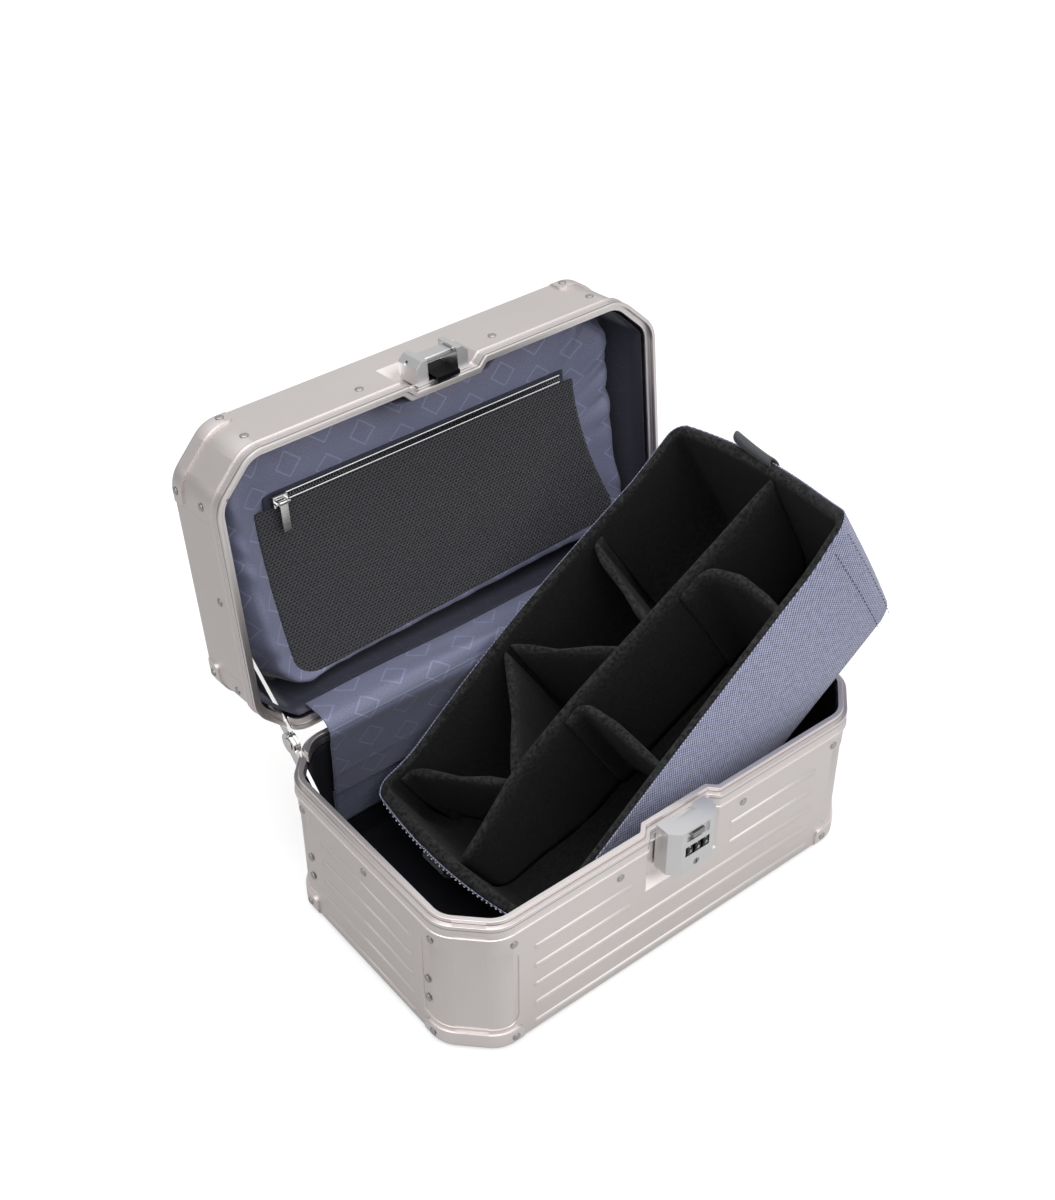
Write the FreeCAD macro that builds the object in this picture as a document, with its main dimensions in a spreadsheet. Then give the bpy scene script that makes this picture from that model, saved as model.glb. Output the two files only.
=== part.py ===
# An aluminium vanity case, standing open, with a soft divider insert leaning out of it.
# Millimetres. Origin at the middle of the underside, X along the long front, front at -Y, +Z up.
import FreeCAD, Part
import math
import os

Vector = FreeCAD.Vector
Placement = FreeCAD.Placement
Rotation = FreeCAD.Rotation

doc = FreeCAD.newDocument("vanity_case")
dims = doc.addObject("Spreadsheet::Sheet", "dims")

# Driving sizes. Heights of the lid are those of the closed case.
SIZES = {
    "case_width": 360,
    "case_depth": 216,
    "corner_leg": 28.5,
    "corner_bend": 23,
    "sheet_gauge": 1.6,
    "cap_gauge": 1.4,
    "cap_height": 15,
    "cap_floor": 2,
    "cap_reach": 45,
    "cap_round": 4.5,
    "cap_end": 5,
    "field_bend": 9,
    "corner_field_edge": 138,
    "corner_field_low": 19,
    "corner_field_high": 90,
    "corner_field_depth": 0.7,
    "panel_top": 112,
    "seam_offset": 62,
    "rim_proud": 1,
    "skirt_proud": 0.6,
    "rim_skirt": 6,
    "rim_bead": 1.4,
    "bead_proud": 1.5,
    "rim_band": 5.5,
    "rim_leg": 20,
    "rim_inside": 5.6,
    "tongue_gauge": 3.6,
    "tongue_height": 3.5,
    "closing_gap": 0.3,
    "lid_depth": 60,
    "lid_gauge": 1.6,
    "step_half": 32,
    "step_slope": 6,
    "step_inward": 6,
    "step_bend": 2.5,
    "pocket_floor": 74,
    "rib_count": 5,
    "rib_pitch": 18.4,
    "rib_lowest": 8.5,
    "rib_radius": 3.2,
    "rib_proud": 1.3,
    "rib_half_front": 124,
    "rib_half_side": 50,
    "rib_break": 45,
    "field_length": 220,
    "field_width": 110,
    "rivet_radius": 3,
    "rivet_proud": 1,
    "rivet_drop": 21,
    "rivet_inner": 54.6,
    "rivet_outer": 141.7,
    "rivet_side": 71.9,
    "lining_gauge": 1.2,
    "lining_gap": 0.2,
    "hinge_out": 4.6,
    "hinge_height": 116.5,
    "hinge_inset": 20,
    "open_angle": 96,
    "arm_gauge": 2.5,
    "arm_gap": 0.3,
    "arm_half_width": 5,
    "arm_reach": 47,
    "disc_radius": 8,
    "pin_radius": 3,
    "running_gap": 0.06,
    "lock_half_back": 21,
    "lock_half_front": 14.5,
    "lock_front": 18,
    "lock_height": 38,
    "lock_top": 120,
    "slot_half": 10,
    "slot_width": 6,
    "slot_depth": 4,
    "tongue_clearance": 1,
    "dial_radius": 7,
    "dial_width": 4.4,
    "dial_pitch": 7,
    "dial_height": 101,
    "axle_radius": 1.5,
    "barrel_radius": 2.6,
    "barrel_length": 8,
    "barrel_height": 87,
    "post_radius": 2.2,
    "latch_half": 21,
    "latch_front": 17,
    "latch_height": 27,
    "cheek_width": 9,
    "lever_gauge": 4,
    "lever_gap": 0.4,
    "lever_reach": 7,
    "pocket_drop": 13.5,
    "pocket_front": -38,
    "pocket_length": 128,
    "pocket_half": 134,
    "mesh_gauge": 1.5,
    "zip_width": 11,
    "zip_gauge": 1,
    "zip_half": 124,
    "teeth_width": 3.2,
    "teeth_gauge": 1.6,
    "slider_length": 11,
    "slider_width": 8,
    "slider_gauge": 2.6,
    "pull_length": 22,
    "pull_width": 6,
    "pull_gauge": 1.4,
    "handle_half": 58,
    "handle_arm": 38,
    "handle_grip": 7,
    "handle_rise": 9.5,
    "handle_gauge": 4,
    "flap_half": 138,
    "flap_gauge": 1.2,
    "band_low": 30,
    "band_high": 64,
    "insert_left": -102,
    "insert_edge": 57,
    "insert_length": 327,
    "insert_depth": 112,
    "insert_lean": 26,
    "insert_front": -88,
    "insert_rear": 88,
    "insert_wall": 5,
    "divider_place": 4,
    "divider_gauge": 4.5,
    "divider_drop": 9,
    "loop_width": 24,
    "loop_place": 20,
    "loop_radius": 7,
    "loop_gauge": 1.6,
    "soft_gap": 0.3,
}
for row, (alias, value) in enumerate(SIZES.items(), start=1):
    dims.set(f"A{row}", alias)
    dims.set(f"B{row}", str(value))
    dims.setAlias(f"B{row}", alias)
doc.recompute()


def size(alias):
    """Value of a driving size, in millimetres or degrees."""
    return float(dims.get(alias))


# Heights and faces that several pieces share.
HALF_X = size("case_width") / 2
HALF_Y = size("case_depth") / 2
GAUGE = size("sheet_gauge")
PANEL_LOW = size("cap_floor")
PANEL_TOP = size("panel_top")
BAND_TOP = PANEL_TOP + size("rim_band")
TONGUE_TOP = BAND_TOP + size("tongue_height")
LID_LOW = BAND_TOP + size("closing_gap")
GROOVE_TOP = TONGUE_TOP + size("closing_gap")
LID_PANEL_LOW = GROOVE_TOP + GAUGE
LID_TOP = BAND_TOP + size("lid_depth")
STEP_FACE = -HALF_Y + size("step_inward")
RIM_FACE = STEP_FACE - size("rim_proud")
LINING_OUT = GAUGE * 2 + size("lining_gap")
LINING_IN = LINING_OUT + size("lining_gauge")
FLOOR_TOP = PANEL_LOW + GAUGE
LINING_FLOOR = FLOOR_TOP + size("lining_gap") + size("lining_gauge")
HINGE_X = HALF_X - size("hinge_inset")
HINGE_Y = HALF_Y + size("hinge_out")
HINGE_Z = size("hinge_height")

# The lid is drawn closed and then swung open about the hinge pins.
CLOSED = Placement()
OPENED = Placement(
    Vector(), Rotation(Vector(1, 0, 0), -size("open_angle")), Vector(0, HINGE_Y, HINGE_Z)
)
FLAT = Rotation()
UPRIGHT_FRONT = Rotation(Vector(1, 0, 0), 90)
UPRIGHT_SIDE = Rotation(Vector(1, 1, 1), 120)

nodes = []


def node(label, item):
    """Keep an object as one finished piece of the case."""
    item.Label = label
    nodes.append(item)
    return item


def rounded(corners):
    """Closed loop of lines and tangent arcs through (x, y, radius) corners."""
    starts = []
    middles = []
    ends = []
    count = len(corners)
    for index, (x, y, radius) in enumerate(corners):
        here = Vector(x, y, 0)
        back = (Vector(*corners[index - 1][:2], 0) - here).normalize()
        ahead = (Vector(*corners[(index + 1) % count][:2], 0) - here).normalize()
        half = back.getAngle(ahead) / 2
        reach = radius / math.tan(half)
        starts.append(here + back * reach)
        ends.append(here + ahead * reach)
        middles.append(here + (back + ahead).normalize() * (radius / math.sin(half) - radius))
    curves = []
    for index, (x, y, radius) in enumerate(corners):
        if radius > 0:
            curves.append(Part.Arc(starts[index], middles[index], ends[index]))
        curves.append(Part.LineSegment(ends[index], starts[(index + 1) % count]))
    return curves


def polygon(points):
    """Closed loop of straight lines."""
    return rounded([(x, y, 0) for x, y in points])


def circle(x, y, radius):
    """Closed loop of one circle."""
    return [Part.Circle(Vector(x, y, 0), Vector(0, 0, 1), radius)]


def outline(inset, stepped=True):
    """Plan of the case drawn in by inset: bevelled corners and, at the front, the step for the lock."""
    half_x = HALF_X - inset
    half_y = HALF_Y - inset
    leg = size("corner_leg") - inset * (2 - math.sqrt(2))
    bend = max(size("corner_bend") - inset, GAUGE)
    corners = [(-half_x + leg, -half_y, bend)]
    if stepped:
        outer = size("step_half") + inset * (math.sqrt(2) - 1)
        inner = outer - size("step_slope")
        deep = -half_y + size("step_inward")
        small = size("step_bend")
        corners += [(-outer, -half_y, small), (-inner, deep, small)]
        corners += [(inner, deep, small), (outer, -half_y, small)]
    corners += [
        (half_x - leg, -half_y, bend),
        (half_x, -half_y + leg, bend),
        (half_x, half_y - leg, bend),
        (half_x - leg, half_y, bend),
        (-half_x + leg, half_y, bend),
        (-half_x, half_y - leg, bend),
        (-half_x, -half_y + leg, bend),
    ]
    return rounded(corners)


def bind(item, prop, amount):
    """Tie a property to an expression of the sheet, or set it to a worked-out value."""
    if isinstance(amount, str):
        item.setExpression(prop, amount)
    else:
        setattr(item, prop, amount)


def prism(name, loops, length, place):
    """Solid drawn as loops in a sketch at place and padded along the sketch's normal."""
    sketch = doc.addObject("Sketcher::SketchObject", name + "_sketch")
    for loop in loops:
        sketch.addGeometry(loop, False)
    sketch.Placement = place
    solid = doc.addObject("Part::Extrusion", name)
    solid.Base = sketch
    solid.DirMode = "Normal"
    solid.Solid = True
    bind(solid, "LengthFwd", length)
    return solid


def level(height, frame=CLOSED):
    """Place of a plan sketch at a height."""
    return frame.multiply(Placement(Vector(0, 0, height), FLAT))


def facing(depth, frame=CLOSED):
    """Place of a front-view sketch that is padded towards the front from depth."""
    return frame.multiply(Placement(Vector(0, depth, 0), UPRIGHT_FRONT))


def beside(x, frame=CLOSED):
    """Place of a side-view sketch, drawn in Y and Z, that is padded towards +X from x."""
    return frame.multiply(Placement(Vector(x, 0, 0), UPRIGHT_SIDE))


def block(name, corner, lengths, frame=CLOSED):
    """Box from its lowest corner and its three lengths."""
    item = doc.addObject("Part::Box", name)
    for prop, amount in zip(("Length", "Width", "Height"), lengths):
        bind(item, prop, amount)
    item.Placement = frame.multiply(Placement(Vector(*corner), FLAT))
    return item


def rod(name, start, direction, radius, length, frame=CLOSED):
    """Round bar from a start point along a direction."""
    item = doc.addObject("Part::Cylinder", name)
    bind(item, "Radius", radius)
    bind(item, "Height", length)
    turn = Rotation(Vector(0, 0, 1), Vector(*direction))
    item.Placement = frame.multiply(Placement(Vector(*start), turn))
    return item


def wedge(name, mouth, floor, faces, frame=CLOSED):
    """Tapered block along +Y: mouth and floor are (x half width, z low, z high) at the two faces."""
    item = doc.addObject("Part::Wedge", name)
    item.Xmin = -mouth[0]
    item.Xmax = mouth[0]
    item.Zmin = mouth[1]
    item.Zmax = mouth[2]
    item.X2min = -floor[0]
    item.X2max = floor[0]
    item.Z2min = floor[1]
    item.Z2max = floor[2]
    item.Ymin = faces[0]
    item.Ymax = faces[1]
    item.Placement = frame
    return item


def fuse(name, pieces):
    """Union of several solids."""
    item = doc.addObject("Part::MultiFuse", name)
    item.Shapes = pieces
    return item


def group(name, pieces):
    """Several separate solids kept as one object."""
    item = doc.addObject("Part::Compound", name)
    item.Links = pieces
    return item


def cut(name, solid, tools):
    """A solid less one or more tools."""
    item = doc.addObject("Part::Cut", name)
    item.Base = solid
    item.Tool = tools[0] if len(tools) == 1 else group(name + "_tools", tools)
    return item


def common(name, first, second):
    """What two solids share."""
    item = doc.addObject("Part::Common", name)
    item.Base = first
    item.Tool = second
    return item


def formed(name, shape, frame=CLOSED):
    """A shape worked out directly from the sizes."""
    item = doc.addObject("Part::Feature", name)
    item.Shape = shape
    item.Placement = frame
    return item


def rib(start, finish, radius):
    """Bead between two points that runs out to a taper at each end."""
    first = Vector(*start)
    last = Vector(*finish)
    bar = Part.makeCylinder(radius, (last - first).Length, first, last - first)
    tips = [
        Part.makeCone(radius, radius / 2, radius, first, first - last),
        Part.makeCone(radius, radius / 2, radius, last, last - first),
    ]
    return bar.fuse(tips)


RIVET_SIDES = 12


def rivet_head(radius, point, outward):
    """Low faceted head with a bevelled edge, standing on a point."""
    turn = Rotation(Vector(0, 0, 1), Vector(*outward))
    rings = []
    for share, height in ((1, 0), (1, 0.4), (0.55, 1)):
        corners = []
        for step in range(RIVET_SIDES + 1):
            angle = 2 * math.pi * step / RIVET_SIDES
            corner = Vector(
                radius * share * math.cos(angle),
                radius * share * math.sin(angle),
                size("rivet_proud") * height,
            )
            corners.append(Vector(*point) + turn.multVec(corner))
        rings.append(Part.makePolygon(corners))
    return Part.makeLoft(rings, True, True)


def rivets(places):
    """Rivet heads at (point, outward direction) places."""
    return Part.makeCompound([rivet_head(size("rivet_radius"), *place) for place in places])


# Walls. Each half has a wrapped front and rear sheet with the bevelled corners, and two side sheets
# let in between them. Beads are pressed outwards across the large faces of the base.
RIB_SINK = size("rib_radius") - size("rib_proud")
RIB_HEIGHTS = [
    size("rib_lowest") + step * size("rib_pitch") for step in range(int(size("rib_count")))
]
BROKEN_FROM = size("pocket_floor") - 2 * size("rib_radius") - size("step_slope")


def long_side_ribs(side, broken):
    """Beads of a front (-1) or rear (+1) wall; those beside the lock stop short of its pocket."""
    reach = size("rib_half_front")
    y = side * (HALF_Y - RIB_SINK)
    beads = []
    for height in RIB_HEIGHTS:
        spans = [(-reach, reach)]
        if broken and height > BROKEN_FROM:
            spans = [(-reach, -size("rib_break")), (size("rib_break"), reach)]
        for left, right in spans:
            beads.append(rib((left, y, height), (right, y, height), size("rib_radius")))
    return Part.makeCompound(beads)


def short_side_ribs(side):
    """Beads of a left (-1) or right (+1) wall."""
    reach = size("rib_half_side")
    x = side * (HALF_X - RIB_SINK)
    beads = [rib((x, -reach, height), (x, reach, height), size("rib_radius")) for height in RIB_HEIGHTS]
    return Part.makeCompound(beads)


SEAM = size("seam_offset")
FAR = HALF_X + HALF_Y


def zones(name, low, high, frame):
    """Four boxes that part a ring of wall at its seams: front, rear, left and right."""
    tall = high - low
    return {
        "front": block(name + "_front_zone", (-FAR, -FAR, low), (2 * FAR, FAR - SEAM, tall), frame),
        "rear": block(name + "_rear_zone", (-FAR, SEAM, low), (2 * FAR, FAR - SEAM, tall), frame),
        "left": block(name + "_left_zone", (-FAR, -SEAM, low), (FAR, 2 * SEAM, tall), frame),
        "right": block(name + "_right_zone", (0, -SEAM, low), (FAR, 2 * SEAM, tall), frame),
    }


def arm_notch(name, side, gap_side, low, high, frame):
    """Slot through a rear corner for a hinge arm; gap_side is +1 or -1 for the plate's own side."""
    middle = side * (HINGE_X + gap_side * (size("arm_gauge") + size("arm_gap")) / 2)
    wide = size("arm_gauge") + 4 * size("arm_gap")
    return block(name, (middle - wide / 2, SEAM, low), (wide, FAR - SEAM, high - low), frame)


ARM_CROSS = size("hinge_out") + size("corner_leg")
BASE_NOTCH_LOW = HINGE_Z - ARM_CROSS
LID_NOTCH_HIGH = HINGE_Z + ARM_CROSS
base_notches = [
    arm_notch(f"base_notch_{word}", side, 1, BASE_NOTCH_LOW, TONGUE_TOP + 1, CLOSED)
    for word, side in (("left", -1), ("right", 1))
]
lid_notches = [
    arm_notch(f"lid_notch_{word}", side, -1, LID_LOW - 1, LID_NOTCH_HIGH, OPENED)
    for word, side in (("left", -1), ("right", 1))
]

# Rims: a drawn frame round each half. A channel takes the edge of the sheet, the base carries a
# tongue and the lid the groove that it closes into.
def ring(name, outer, inner, low, length, frame):
    """Band of the frame between two insets of the plan."""
    return prism(name, [outline(outer), outline(inner)], length, level(low, frame))


PROUD = -size("rim_proud")
SKIRT = -size("skirt_proud")
BEAD = -size("bead_proud")
LID_BEAD_LOW = LID_PANEL_LOW + size("rim_skirt") - size("rim_bead")
INSIDE = size("rim_inside")
TONGUE_OUT = INSIDE - size("tongue_gauge")
GROOVE_OUT = TONGUE_OUT - size("closing_gap")
base_rim_parts = [
    ring("base_rim_band", PROUD, INSIDE, PANEL_TOP, "dims.rim_band", CLOSED),
    ring("base_rim_skirt", SKIRT, 0, PANEL_TOP - size("rim_skirt"), "dims.rim_skirt", CLOSED),
    ring("base_rim_bead", BEAD, 0, PANEL_TOP - size("rim_skirt"), "dims.rim_bead", CLOSED),
    ring("base_rim_leg", GAUGE, 2 * GAUGE, PANEL_TOP - size("rim_leg"), "dims.rim_leg", CLOSED),
    ring("base_rim_tongue", TONGUE_OUT, INSIDE, BAND_TOP, "dims.tongue_height", CLOSED),
]
base_frame = fuse("base_frame", base_rim_parts)
node("base_rim", cut("base_rim", base_frame, base_notches))
groove_height = "dims.tongue_height"
lid_rim_parts = [
    ring("lid_rim_lip", PROUD, GROOVE_OUT, LID_LOW, groove_height, OPENED),
    ring("lid_rim_band", PROUD, INSIDE, GROOVE_TOP, "dims.sheet_gauge", OPENED),
    ring("lid_rim_skirt", SKIRT, 0, LID_PANEL_LOW, "dims.rim_skirt", OPENED),
    ring("lid_rim_bead", BEAD, 0, LID_BEAD_LOW, "dims.rim_bead", OPENED),
    ring("lid_rim_leg", GAUGE, 2 * GAUGE, LID_PANEL_LOW, "dims.rim_leg", OPENED),
]
lid_frame = fuse("lid_frame", lid_rim_parts)
node("lid_rim", cut("lid_rim", lid_frame, lid_notches))

# Base walls, with the pocket for the lock pressed into the front. A shallow field is pressed into
# each corner, from near the last bead round to the seam.
field_skin = prism(
    "field_skin",
    [outline(PROUD, False), outline(size("corner_field_depth"), False)],
    "dims.corner_field_high - dims.corner_field_low",
    level(size("corner_field_low")),
)
field_views = []
for side in (-1, 1):
    field_near = side * size("corner_field_edge")
    field_far = side * FAR
    view_loop = rounded([
        (field_near, size("corner_field_low"), size("field_bend")),
        (field_far, size("corner_field_low"), 0),
        (field_far, size("corner_field_high"), 0),
        (field_near, size("corner_field_high"), size("field_bend")),
    ])
    field_views.append(prism(f"field_view_{len(field_views)}", [view_loop], 2 * FAR, facing(FAR)))
corner_fields = common("corner_fields", field_skin, group("field_views", field_views))
base_ring = prism(
    "base_ring",
    [outline(0, False), outline(GAUGE, False)],
    "dims.panel_top - dims.cap_floor",
    level(PANEL_LOW),
)
base_inside = prism("base_inside", [outline(GAUGE, False)], "dims.panel_top", level(PANEL_LOW))
pocket_slope = size("step_half") - size("step_slope")
lock_pocket = wedge(
    "lock_pocket",
    (size("step_half"), size("pocket_floor") - size("step_slope"), PANEL_TOP),
    (pocket_slope, size("pocket_floor"), PANEL_TOP),
    (-HALF_Y, STEP_FACE),
)
lock_dish = wedge(
    "lock_dish",
    (size("step_half") + GAUGE, size("pocket_floor") - size("step_slope") - GAUGE, PANEL_TOP),
    (pocket_slope + GAUGE, size("pocket_floor") - GAUGE, PANEL_TOP),
    (-HALF_Y + GAUGE / 2, STEP_FACE + GAUGE),
)
base_zones = zones("base", PANEL_LOW, PANEL_TOP, CLOSED)

front_beads = formed("front_beads", long_side_ribs(-1, True))
front_sheet = common("front_sheet", base_ring, base_zones["front"])
front_beaded = cut("front_beaded", fuse("front_with_beads", [front_sheet, front_beads]), [base_inside])
front_dished = fuse("front_dished", [front_beaded, lock_dish])
node("base_front_panel", cut("base_front_panel", front_dished, [lock_pocket, base_frame, corner_fields]))

rear_beads = formed("rear_beads", long_side_ribs(1, False))
rear_sheet = common("rear_sheet", base_ring, base_zones["rear"])
rear_with_beads = fuse("rear_with_beads", [rear_sheet, rear_beads])
rear_tools = [base_inside, corner_fields] + base_notches
node("base_rear_panel", cut("base_rear_panel", rear_with_beads, rear_tools))

for word, side in (("left", -1), ("right", 1)):
    beads = formed(f"{word}_beads", short_side_ribs(side))
    sheet = common(f"{word}_sheet", base_ring, base_zones[word])
    beaded = fuse(f"{word}_with_beads", [sheet, beads])
    node(f"base_{word}_panel", cut(f"base_{word}_panel", beaded, [base_inside]))

# Bottom: a flat sheet inside the walls with a pressed field that reaches down to the level of the caps.
bottom_sheet = prism("bottom_sheet", [outline(GAUGE, False)], "dims.sheet_gauge", level(PANEL_LOW))
field_x = size("field_length") / 2
field_y = size("field_width") / 2
field_bend = size("field_bend")
field_loop = rounded([
    (-field_x, -field_y, field_bend),
    (field_x, -field_y, field_bend),
    (field_x, field_y, field_bend),
    (-field_x, field_y, field_bend),
])
bottom_field = prism("bottom_field", [field_loop], "dims.cap_floor", level(0))
node("base_bottom", fuse("base_bottom", [bottom_sheet, bottom_field]))


# Corner caps: pressed shoes round the four corners of each half, under the base and over the lid.
def caps(name, low, sole, hollow_from, frame):
    """Four pressed corner shoes: a plate with a rounded edge at the sole and a skirt outside the wall."""
    reach = size("cap_reach")
    shoe = prism(name + "_shoe", [outline(-size("cap_gauge"), False)], "dims.cap_height", level(low, frame))
    doc.recompute()
    sole_plane = level(sole, frame).inverse()
    edges = []
    for index, edge in enumerate(shoe.Shape.Edges, start=1):
        if all(abs(sole_plane.multVec(point.Point).z) < 1e-6 for point in edge.Vertexes):
            edges.append((index, size("cap_round"), size("cap_round")))
    body = doc.addObject("Part::Fillet", name + "_rounded")
    body.Base = shoe
    body.Edges = edges
    hollow = prism(name + "_hollow", [outline(0, False)], "dims.cap_height", level(hollow_from, frame))
    shell = cut(name + "_shell", body, [hollow])
    high = low + size("cap_height")
    ends = (0, size("cap_end")) if sole == low else (size("cap_end"), 0)
    for word, half, place in (("ends", HALF_X, facing(FAR, frame)), ("sides", HALF_Y, beside(-FAR, frame))):
        views = []
        for side in (-1, 1):
            near = side * (half - reach)
            far = side * FAR
            loop = rounded([(near, low, ends[0]), (far, low, 0), (far, high, 0), (near, high, ends[1])])
            views.append(prism(f"{name}_{word}_{len(views)}", [loop], 2 * FAR, place))
        shell = common(f"{name}_{word}", shell, group(f"{name}_{word}_views", views))
    return shell


node("base_corner_caps", caps("base_corner_caps", 0, 0, PANEL_LOW, CLOSED))
LID_SOLE = LID_TOP + PANEL_LOW
lid_cap_low = LID_SOLE - size("cap_height")
lid_cap_hollow = LID_TOP - size("cap_height")
node("lid_corner_caps", caps("lid_corner_caps", lid_cap_low, LID_SOLE, lid_cap_hollow, OPENED))


# Lid walls and top.
LID_WALL = LID_TOP - LID_PANEL_LOW
lid_ring = prism(
    "lid_ring", [outline(0, False), outline(GAUGE, False)], LID_WALL, level(LID_PANEL_LOW, OPENED)
)
lid_zones = zones("lid", LID_PANEL_LOW, LID_TOP, OPENED)
lid_pocket_top = LID_PANEL_LOW + size("latch_height")
lid_pocket = wedge(
    "lid_pocket",
    (size("step_half"), LID_PANEL_LOW, lid_pocket_top + size("step_slope")),
    (pocket_slope, LID_PANEL_LOW, lid_pocket_top),
    (-HALF_Y, STEP_FACE),
    OPENED,
)
lid_dish = wedge(
    "lid_dish",
    (size("step_half") + GAUGE, LID_PANEL_LOW, lid_pocket_top + size("step_slope") + GAUGE),
    (pocket_slope + GAUGE, LID_PANEL_LOW, lid_pocket_top + GAUGE),
    (-HALF_Y + GAUGE / 2, STEP_FACE + GAUGE),
    OPENED,
)
lid_front_sheet = common("lid_front_sheet", lid_ring, lid_zones["front"])
lid_front_dished = fuse("lid_front_dished", [lid_front_sheet, lid_dish])
node("lid_front_panel", cut("lid_front_panel", lid_front_dished, [lid_pocket, lid_frame]))
lid_rear_sheet = common("lid_rear_sheet", lid_ring, lid_zones["rear"])
node("lid_rear_panel", cut("lid_rear_panel", lid_rear_sheet, lid_notches))
for word in ("left", "right"):
    node(f"lid_{word}_panel", common(f"lid_{word}_panel", lid_ring, lid_zones[word]))

lid_sheet = prism(
    "lid_sheet", [outline(GAUGE, False)], "dims.lid_gauge", level(LID_TOP - size("lid_gauge"), OPENED)
)
TOP_SINK = LID_TOP - RIB_SINK
top_rows = [row * size("rib_pitch") for row in range(-4, 5) if abs(row) > 2]
top_beads = Part.makeCompound([
    rib((-size("rib_half_front"), y, TOP_SINK), (size("rib_half_front"), y, TOP_SINK), size("rib_radius"))
    for y in top_rows
])
lid_beads = formed("lid_beads", top_beads, OPENED)
lid_beaded = fuse("lid_beaded", [lid_sheet, lid_beads])
under_top = prism(
    "under_top",
    [outline(GAUGE, False)],
    "2 * dims.rib_radius",
    level(LID_TOP - size("lid_gauge") - 2 * size("rib_radius"), OPENED),
)
node("lid_top", cut("lid_top", lid_beaded, [under_top]))


# Rivets: heads along both frames, down the seams and on the caps.
def around(height, cap_height):
    """Rivet places of one half: along the frame and on the corner caps."""
    places = []
    cap = size("cap_gauge")
    for side in (-1, 1):
        y = side * HALF_Y
        for x in (-size("rivet_outer"), -size("rivet_inner"), size("rivet_inner"), size("rivet_outer")):
            places.append(((x, y, height), (0, side, 0)))
        for x in (-size("rivet_outer"), size("rivet_outer")):
            places.append(((x, y + side * cap, cap_height), (0, side, 0)))
        x = side * HALF_X
        for y_side in (-size("rivet_side"), 0, size("rivet_side")):
            places.append(((x, y_side, height), (side, 0, 0)))
        for y_side in (-size("rivet_side"), size("rivet_side")):
            places.append(((x + side * cap, y_side, cap_height), (side, 0, 0)))
    return places


cap_rivet = size("cap_height") / 2
seam_rivets = []
for side in (-1, 1):
    for seam in (-1, 1):
        for row in (2, 3):
            y = seam * (SEAM + size("rivet_radius") + 2)
            height = (RIB_HEIGHTS[row] + RIB_HEIGHTS[row - 1]) / 2
            seam_rivets.append(((side * HALF_X, y, height), (side, 0, 0)))
base_places = around(BAND_TOP - size("rivet_drop"), cap_rivet) + seam_rivets
node("base_rivets", formed("base_rivets", rivets(base_places)))
lid_places = around(LID_LOW + size("rivet_drop") + size("rivet_radius"), LID_SOLE - cap_rivet)
node("lid_rivets", formed("lid_rivets", rivets(lid_places), OPENED))

# Linings: thin cloth-covered trays glued inside each half.
base_tray = prism(
    "base_tray", [outline(LINING_OUT)], PANEL_TOP - FLOOR_TOP - 2 * size("lining_gap"),
    level(FLOOR_TOP + size("lining_gap")),
)
base_hollow = prism("base_hollow", [outline(LINING_IN)], "dims.panel_top", level(LINING_FLOOR))
node("base_lining", cut("base_lining", base_tray, [base_hollow] + base_notches))

CEILING = LID_TOP - size("lid_gauge") - size("lining_gap")
LID_LINING_LOW = LID_PANEL_LOW + 2 * size("lining_gap")
lid_tray = prism(
    "lid_tray", [outline(LINING_OUT)], CEILING - LID_LINING_LOW, level(LID_LINING_LOW, OPENED)
)
lid_hollow = prism(
    "lid_hollow",
    [outline(LINING_IN)],
    CEILING - LID_LINING_LOW,
    level(LID_LINING_LOW - size("lining_gauge"), OPENED),
)
node("lid_lining", cut("lid_lining", lid_tray, [lid_hollow] + lid_notches))

# Lid pocket: a lining panel with a zip along its edge, over a mesh pocket with gathered sides.
POCKET_FACE = CEILING - size("lining_gauge") - size("pocket_drop")
POCKET_BACK = CEILING - size("lining_gauge") - size("lining_gap")
ZIP_LINE = size("pocket_front") - size("zip_width") / 2
panel_front = STEP_FACE + LINING_IN + size("lining_gap")
panel_rear = ZIP_LINE - size("zip_width") / 2
panel_half = HALF_X - size("corner_leg") - LINING_IN
lining_panel = block(
    "lining_panel",
    (-panel_half, panel_front, POCKET_FACE),
    (2 * panel_half, panel_rear - panel_front, POCKET_BACK - POCKET_FACE),
    OPENED,
)
lining_room = block(
    "lining_room",
    (-panel_half + size("mesh_gauge"), panel_front + size("mesh_gauge"), POCKET_FACE + size("mesh_gauge")),
    (2 * panel_half - 2 * size("mesh_gauge"), panel_rear - panel_front, "dims.pocket_drop"),
    OPENED,
)
node("lid_lining_panel", cut("lid_lining_panel", lining_panel, [lining_room]))
mesh_box = block(
    "mesh_box",
    (-size("pocket_half"), size("pocket_front"), POCKET_FACE),
    ("2 * dims.pocket_half", "dims.pocket_length", POCKET_BACK - POCKET_FACE),
    OPENED,
)
mesh_room = block(
    "mesh_room",
    (
        -size("pocket_half") + size("mesh_gauge"),
        size("pocket_front") - size("mesh_gauge"),
        POCKET_FACE + size("mesh_gauge"),
    ),
    (
        "2 * dims.pocket_half - 2 * dims.mesh_gauge",
        "dims.pocket_length",
        "dims.pocket_drop",
    ),
    OPENED,
)
node("mesh_pocket", cut("mesh_pocket", mesh_box, [mesh_room]))

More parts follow.
